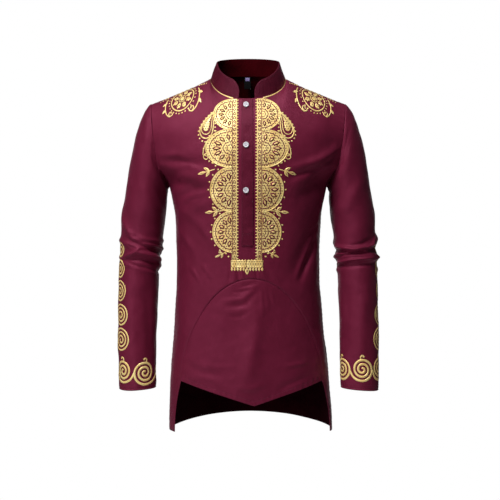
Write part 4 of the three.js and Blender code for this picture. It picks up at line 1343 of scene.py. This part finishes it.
def chestHalf():
    # The wearer's right half of the chest print.
    top, foot, middle = chest["topZ"], chest["footZ"], chest["centreX"]
    x0 = middle - chest["gap"]
    base = x0 - chest["band"]
    raised = film["lift"] + 0.1
    outline = [np.array([[base, top]])]
    for centreZ, width, half in chest["medallions"]:
        turn = np.linspace(0, math.pi, 36)
        outline.append(stacked(base - width * np.sin(turn), centreZ + half * np.cos(turn)))
    outline.append(np.array([[base, foot]]))
    outer = np.concatenate(outline)
    inner = stacked(x0 + 0 * outer[:, 0], outer[:, 1])
    shapes = [pinHoled((inner, outer), 22), inGold(ribbon(outer, 2.4), lift=raised)]
    shapes.append(inGold(ribbon(upright(x0 - 1.2, top, foot), 2.4, step=4), lift=raised))
    shapes.append(cutOut(ribbon(upright(base, top - 2, foot + 2), 1.5, step=4)))
    for z in np.arange(top - 3, foot, -chest["picotEvery"]):
        shapes.append(inGold(ribbon(crosswise(z, x0 - 1, x0 + chest["picotReach"]), 2.3, step=1)))
    for z in np.arange(top - 6, foot + 6, -chest["ringEvery"]):
        shapes.append(cutOut(ring((x0 - chest["band"] / 2 - 0.6, z), 2.3, 1.3)))
    for centreZ, width, half in chest["medallions"]:
        shapes += medallionShapes(centreZ, width, half, base)
    for centreZ, width, half in chest["medallions"][1:]:      # beads outside the wider medallions
        for turn in np.linspace(0.3, math.pi - 0.3, 9):
            spot = (base - (width + 4.6) * math.sin(turn), centreZ + (half + 4.6) * math.cos(turn))
            shapes.append(inGold(disc(spot, 1.6), 2))
    shapes += botehShapes((base - 56, -140), 66, 40, 26)
    for out, z, bearing, size in chest["sprigs"]:
        shapes += sprigShapes((base - out, z), math.radians(bearing), size)
    scroll = curve((base - 20, -124), (base - 44, -128), (base - 62, -150), (base - 62, -176), count=30)
    shapes.append(inGold(ribbon(scroll, 2.2)))
    shapes.append(inGold(ribbon(spiral((base - 55, -180), 8, 1.3, math.radians(160), 1.2, -1), 2.0)))
    # the foot band reaches the middle; petals hang below it
    depth = chest["footDepth"]
    edge = evenLine(np.array(crosswise(foot + 1, base - 3, middle)), 3)
    shapes.append(pinHoled((edge, edge - [0, depth + 1]), 6))
    for z in (foot, foot - depth + 1):
        shapes.append(inGold(ribbon(crosswise(z, base - 4, middle + 0.5), 2.2, step=4), lift=raised))
    for x in np.linspace(base - 1, middle - 7, 5):
        shapes.append(inGold(leaf((x, foot - depth), -math.pi / 2, 7.5, 5.0), 2))
        shapes.append(inGold(ribbon(upright(x + 3.4, foot, foot + 3.6), 2.2, step=1)))
    return shapes


def frontPlanPlace(x, z, lift):
    # Lays a plan that is seen from the front on the front.
    share, level = frontPlace(x, z)
    return frontCloth(share, level, lift)


def makeChestPrint():
    centreX, low = chest["centreX"], chest["footZ"] - chest["footDepth"]
    right = chestHalf()
    left = [(flipped(edges, centreX), *rest) for edges, *rest in right]
    middle = [
        inGold(leaf((centreX, low), -math.pi / 2, 15, 8.5), 3),
        cutOut(leaf((centreX, low - 3), -math.pi / 2, 8, 2.6)),
    ]
    return filmPiece("print_chest", right + left + middle, frontPlanPlace)


def makeCollarLine():
    # A fine line on the front, just below the collar seam, from one shoulder to the placket and on to the
    # other.
    pieces = []
    for side in (-1, 1):
        share = np.linspace(body["neckShare"], 0.105, 60) * side
        line = stacked(share * 1000, np.full_like(share, -2.4))
        edge = np.array([0, 1.3])
        pieces.append(inGold((line + edge, line - edge), 2))
    place = lambda x, z, lift: frontCloth(x / 1000, body["topLevel"] + z, lift)
    return filmPiece("print_collar_line", pieces, place)


makeChestPrint()
makeCollarLine()
print("chest print made")


# Print: shoulders
shoulderPrint = {
    "centre": (62.0, 40.0), "radius": 27.0, "petals": 8, "beads": 26, "length": 141.0, "perLevel": 1.6,
}


def shoulderPlace(side):
    # Plan x runs along the shoulder seam from the neck, plan y from the seam to the front (above 0) or back.
    def place(x, y, lift):
        share = side * (body["neckShare"] + (1 - body["neckShare"]) * x / shoulderPrint["length"])
        level = body["topLevel"] - np.abs(y) / shoulderPrint["perLevel"]
        ahead, behind = frontCloth(share, level, lift), backCloth(share, level, lift)
        return np.where((y >= 0)[:, None], ahead, behind)
    return place


def shoulderShapes():
    # A petalled rosette in a ring on the front of the shoulder, scrolls on both sides of it and a spray over
    # the seam.
    centre = np.array(shoulderPrint["centre"])
    x, y = centre
    radius, petals, beads = shoulderPrint["radius"], shoulderPrint["petals"], shoulderPrint["beads"]
    shapes = [inGold(ring(centre, radius, 2.6)), inGold(disc(centre, 5.0), 6), inGold(ring(centre, 8.0, 1.6))]
    for bearing in 2 * math.pi * (np.arange(petals) + 0.5) / petals:
        shapes.append(pinHoled(leaf(centre + 9.5 * direction(bearing), bearing, radius - 12.5, 10.5), 3))
    for bearing in 2 * math.pi * np.arange(beads) / beads:
        shapes.append(inGold(disc(centre + (radius + 5.5) * direction(bearing), 1.5), 2))
    for way in (-1, 1):
        foot = x + way * (radius + 8)
        stem = [(foot, y - 16), (foot + way * 12, y + 4), (foot + way * 9, y + 30), (foot - way * 8, y + 34)]
        shapes.append(inGold(ribbon(curve(*stem, count=30), 2.6)))
        curl = spiral((foot - way * 8, y + 27), 7, 1.3, math.pi / 2, 1.2, way)
        shapes.append(inGold(ribbon(curl, 2.2)))
        shapes.append(inGold(leaf((foot + way * 2, y - 4), math.radians(90 - way * 62), 14, 6), 3))
        shapes.append(inGold(leaf((foot + way * 6, y + 12), math.radians(90 - way * 40), 13, 5.5), 3))
        for step in range(4):
            spot = (foot + way * (2 + 6.0 * step), y - 25 + step * 2.5)
            shapes.append(inGold(disc(spot, 2.6 - 0.35 * step), 2))
        stem = [(x + way * 6, 6), (x + way * 22, 4), (x + way * 34, -8), (x + way * 27, -20)]
        shapes.append(inGold(ribbon(curve(*stem, count=30), 2.6)))
        shapes.append(inGold(ribbon(spiral((x + way * 21, -17), 6, 1.2, 0, 1.2, way), 2.0)))
    for bearing in (-140, -90, -40):
        shapes.append(inGold(leaf((x, 4), math.radians(bearing), 22, 8), 3))
    shapes.append(inGold(disc((x, 6), 3.4), 4))
    return shapes


for side, name in ((-1, "right"), (1, "left")):
    shapes = shoulderShapes()
    if side > 0:
        shapes = [(edges[::-1], *rest) for edges, *rest in shapes]
    filmPiece(f"print_shoulder_{name}", shapes, shoulderPlace(side))
print("shoulder prints made")


# Print: sleeves
# Each running spiral: angle round the arm, height, radius. The cuff's spirals touch and carry a small curl.
sleevePrint = {
    -1: {
        "column": [
            (27, -375.5, 15.6), (27.8, -416.5, 20.2), (31, -464.5, 23), (37, -516, 23.4),
            (38.8, -568.5, 24.3),
        ],
        "cuff": [(47, -636.5, 26), (120, -639, 27.3), (204, -638, 27), (285, -636, 26.5)],
    },
    1: {
        "column": [
            (8, -375.5, 15.6), (9.8, -417, 20), (3.6, -464, 22.5), (11.4, -515, 23.4), (17, -568, 24.3),
        ],
        "cuff": [(20, -631, 26), (86, -632, 26), (156, -631, 26), (229, -631, 26), (302, -631, 26)],
    },
    "stroke": 3.6, "cuffStroke": 4.7, "lift": 0.3, "pitch": 7.6, "cuffTurns": 2.65,
}


def sleevePrintPlace(side, angle, height):
    # Plan x runs round the arm from the given angle, plan y up the arm from the given height.
    runs = np.linspace(150, sleeve["length"], 400)
    heights = sleevePoints([], np.full_like(runs, angle), runs)[:, 2]
    run = float(np.interp(-height, -heights, runs))
    near = sleevePoints([], np.array([angle - 15.0, angle + 15.0]), np.full(2, run))
    radius = np.linalg.norm(near[1] - near[0]) / math.radians(30)

    def place(x, y, lift):
        return sleeveCloth(side, angle + np.degrees(x / radius), run - y, lift)
    return place, radius


def runningSpiral(radius, stroke, step, across):
    # One spiral of the row with its tail to the next one, which stands a step further (across) or lower down.
    # A column's radius is the one that it has on the front's side, so its end, 200 degrees later, lies
    # further out.
    lift, pitch = sleevePrint["lift"], sleevePrint["pitch"]
    end, low, far, turns = 270, 0, radius, sleevePrint["cuffTurns"]
    if not across:
        end, low = 200, pitch / 4
        far = radius + pitch * end / 360
        turns = (far - 1.4) / pitch
    line = spiral((0, -low), far, turns, math.radians(end) - turns * 2 * math.pi, 1.4)
    if across:
        onward, tail = np.array([step, 0]), [(0.75, -1, 0), (-1.15, -0.62, 1), (-0.96, -0.12, 1)]
    else:
        onward, tail = np.array([0, -step]), [(-1.1, -0.85, 0), (-1.15, 1.0, 1), (-0.92, 0.7, 1)]
    tail = [radius * np.array([x, y]) + ahead * onward for x, y, ahead in tail]
    line = np.concatenate([line, curve(line[-1], *tail, count=24)[1:]])
    shapes = [inGold(ribbon(line, stroke, step=1.5), 2, lift)]
    if across:
        knob = [(3.0, 0.86 * radius), (5.6, radius + 2), (3.4, radius + 8)]
        knob += [(-4.6, radius + 6.6), (-4.4, radius + 1.6), (-0.4, radius + 2.8)]
        shapes.append(inGold(ribbon(curve(*knob, count=26), 3.0, step=0.9), 2, lift))
        shapes.append(inGold(disc((-2.4, radius + 3.2), 2.1), 4, lift))
    return shapes


def makeSleevePrint(side):
    name, rows = ("left" if side > 0 else "right"), sleevePrint[side]
    for row, stroke in (("column", sleevePrint["stroke"]), ("cuff", sleevePrint["cuffStroke"])):
        for number, (angle, height, radius) in enumerate(rows[row], 1):
            place, girth = sleevePrintPlace(side, angle, height)
            following = rows[row][number % len(rows[row])]
            if row == "cuff":
                step = math.radians((following[0] - angle) % 360) * girth
            else:
                step = height - following[1] if number < len(rows[row]) else radius * 2.2
            shapes = runningSpiral(radius - stroke / 2, stroke, step, row == "cuff")
            made = filmPiece(f"print_{row}_{name}_{number}", shapes, place)
            if side > 0:
                made.data.flip_normals()


for side in (-1, 1):
    makeSleevePrint(side)
print("sleeve prints made")


# Stitching
stitch = {
    "pitch": 3.0, "length": 2.3, "radius": 0.22, "sides": 4,
    # how far each row lies inside its edge
    "placketIn": 2.2, "endIn": 2.0, "boxRows": 2.5, "archIn": 3.0, "hemSideIn": 8.0, "cornerIn": 6.0,
    "tipIn": 9.0, "cuffIn": 12.0, "backHemIn": 9.0,
}


def stitchRow(place, line):
    # Short threads one after another along a plan line, each a low arch laid on the cloth.
    length = lengthsAlong(line)
    starts = np.arange(0, length[-1] - stitch["length"], stitch["pitch"])
    at = starts[:, None] + np.linspace(0, stitch["length"], 4)
    x, y = np.interp(at, length, line[:, 0]), np.interp(at, length, line[:, 1])
    high = np.broadcast_to(np.array([0.02, 0.2, 0.2, 0.02]), x.shape)
    points = place(x.ravel(), y.ravel(), high.ravel()).reshape(*x.shape, 3)
    return list(points)


def stitchedPiece(name, rows, hint):
    threadPiece(name, rows, stitch["radius"], stitch["sides"], hint, threadWine)


def makeStitching():
    half = placket["width"] / 2 - stitch["placketIn"]
    left, right = placket["centreX"] - half, placket["centreX"] + half
    top, foot = placket["topZ"] - stitch["endIn"], placket["footZ"] + stitch["endIn"]
    onPlacket = lambda x, z, lift: placketCloth(x, z, placket["lift"] + placket["wall"] + lift)
    rows = []
    for x in (left, right):
        rows += stitchRow(onPlacket, np.array(upright(x, top, foot)))
    for z in (placket["boxZ"], placket["boxZ"] - stitch["boxRows"], foot):
        rows += stitchRow(onPlacket, np.array(crosswise(z, left, right)))
    stitchedPiece("placket_stitching", rows, (0, -1, 0))
    turn = np.linspace(3 - collarEnds[-1], collarEnds[1] - 3, 200)
    line = collarTop(turn) * collar["height"] - collar["stitchIn"]
    toCollar = lambda x, y, lift: onCollar(
        np.degrees(x / body["neckHalfWidth"]), y / collar["height"], collar["outside"] + lift)
    rows = stitchRow(toCollar, stacked(np.radians(turn) * body["neckHalfWidth"], line))
    stitchedPiece("collar_stitching", rows, (0, 0, 1))
    arch = np.concatenate([archEdge(-1, 120), archEdge(1, 120)[-2::-1]])
    along = unit(np.gradient(arch, axis=0))
    rows = stitchRow(frontPlanPlace, arch + stacked(-along[:, 1], along[:, 0]) * stitch["archIn"])
    reach = inset["halfWidth"] - stitch["hemSideIn"]
    corner, tip = inset["cornerZ"] + stitch["cornerIn"], (inset["tipX"], inset["tipZ"] + stitch["tipIn"])
    hem = np.array([(inset["centreX"] - reach, corner), tip, (inset["centreX"] + reach, corner)])
    rows += stitchRow(frontPlanPlace, hem)
    stitchedPiece("lower_front_stitching", rows, (0, -1, 0))
    for side, name in ((-1, "right"), (1, "left")):
        # plan x is 0.7 mm for each degree round the cuff
        place = lambda x, y, lift: sleeveCloth(side, x / 0.7, sleeve["length"] + y, lift)
        rows = stitchRow(place, np.array(crosswise(-stitch["cuffIn"], 0.0, 252.0)))
        stitchedPiece(f"cuff_stitching_{name}", rows, (0, 0, 1))
    share = np.linspace(-0.985, 0.985, 200)
    place = lambda x, y, lift: backCloth(x / body["halfGirth"], y, lift)
    rows = stitchRow(place, stacked(share * body["halfGirth"], backHem(share) + stitch["backHemIn"]))
    stitchedPiece("back_hem_stitching", rows, (0, 1, 0))


makeStitching()
print("stitching made")


# Floor, light and camera
studio = {
    "floorZ": -1.6, "floorHalf": 2.2, "cornerPower": 6, "floorGrey": 0.86,
    "cameraX": 0.004, "cameraDistance": 2.6, "cameraZ": -0.376, "viewWidth": 1.1, "sensor": 36.0,
    # the room is white behind the shirt and dimmer elsewhere; the edges are the y of the view direction
    "roomWhite": 1.0, "roomDim": 0.06, "whiteFrom": 0.84, "whiteTo": 0.95,
}


def makeFloor():
    # One sheet: rings of a square with rounded corners, a superellipse.
    turn = np.linspace(0, 2 * math.pi, 65)
    power = 2 / studio["cornerPower"]
    spot = stacked(np.sign(np.cos(turn)) * np.abs(np.cos(turn)) ** power,
                   np.sign(np.sin(turn)) * np.abs(np.sin(turn)) ** power)
    rings = np.linspace(1e-4, 1, 9)[:, None, None] * spot * studio["floorHalf"]
    points = np.concatenate([rings, np.full((*rings.shape[:2], 1), studio["floorZ"])], -1).reshape(-1, 3)
    quads, _ = gridQuads(*rings.shape[:2])
    grey = (studio["floorGrey"],) * 3
    material, nodes, links, shader = newMaterial("floorPaper", grey)
    place = addNode(nodes, "ShaderNodeTexCoord").outputs["Object"]
    addBump(nodes, links, shader, addNoise(nodes, links, place, Scale=30.0, Detail=3.0), 0.05, 0.001)
    shader.inputs["Base Color"].default_value = (*grey, 1)
    shader.inputs["Roughness"].default_value = 0.9
    mesh = bpy.data.meshes.new("floor_paper")
    mesh.from_pydata(points.tolist(), [], quads[:, ::-1].tolist())
    mesh.materials.append(material)
    made = bpy.data.objects.new("floor_paper", mesh)
    bpy.context.scene.collection.objects.link(made)


def makeRoom():
    # Brightness by the direction's y: dim in front and at the sides, white straight behind the shirt.
    world = bpy.data.worlds.new("room")
    world.use_nodes = True
    nodes, links = world.node_tree.nodes, world.node_tree.links
    place = nodes.new("ShaderNodeTexCoord")
    parts = nodes.new("ShaderNodeSeparateXYZ")
    links.new(place.outputs["Generated"], parts.inputs[0])
    bright = nodes.new("ShaderNodeMapRange")
    bright.interpolation_type = "SMOOTHSTEP"
    ends = {"From Min": "whiteFrom", "From Max": "whiteTo", "To Min": "roomDim", "To Max": "roomWhite"}
    for socket, key in ends.items():
        bright.inputs[socket].default_value = studio[key]
    links.new(parts.outputs["Y"], bright.inputs["Value"])
    links.new(bright.outputs["Result"], nodes["Background"].inputs["Strength"])
    nodes["Background"].inputs["Color"].default_value = (1, 1, 1, 1)
    bpy.context.scene.world = world


def addLight(name, place, target, size, power, colour=(1, 1, 1)):
    data = bpy.data.lights.new(name, "AREA")
    data.shape, data.size, data.energy, data.color = "DISK", size, power, colour
    lamp = bpy.data.objects.new(name, data)
    lamp.location = place
    away = np.array(place) - np.array(target)
    flat = math.hypot(away[0], away[1])
    lamp.rotation_euler = (math.atan2(flat, away[2]), 0, math.atan2(away[1], away[0]) + math.pi / 2)
    bpy.context.scene.collection.objects.link(lamp)


def makeCamera():
    data = bpy.data.cameras.new("camera")
    data.sensor_width = studio["sensor"]
    data.lens = studio["sensor"] * studio["cameraDistance"] / studio["viewWidth"]
    camera = bpy.data.objects.new("camera", data)
    camera.location = (studio["cameraX"], -studio["cameraDistance"], studio["cameraZ"])
    camera.rotation_euler = (math.pi / 2, 0, 0)
    bpy.context.scene.collection.objects.link(camera)
    bpy.context.scene.camera = camera


makeFloor()
makeRoom()
addLight("key", (-0.83, -1.64, 2.27), (0, 0, -0.35), 0.8, 87)
addLight("side", (-2.05, -2.44, -0.07), (0, 0, -0.35), 0.8, 25)
addLight("top", (-0.2, -0.35, 2.3), (0, 0, -0.2), 1.2, 13)
bpy.context.scene.view_settings.view_transform = "Standard"
makeCamera()
print("studio made")
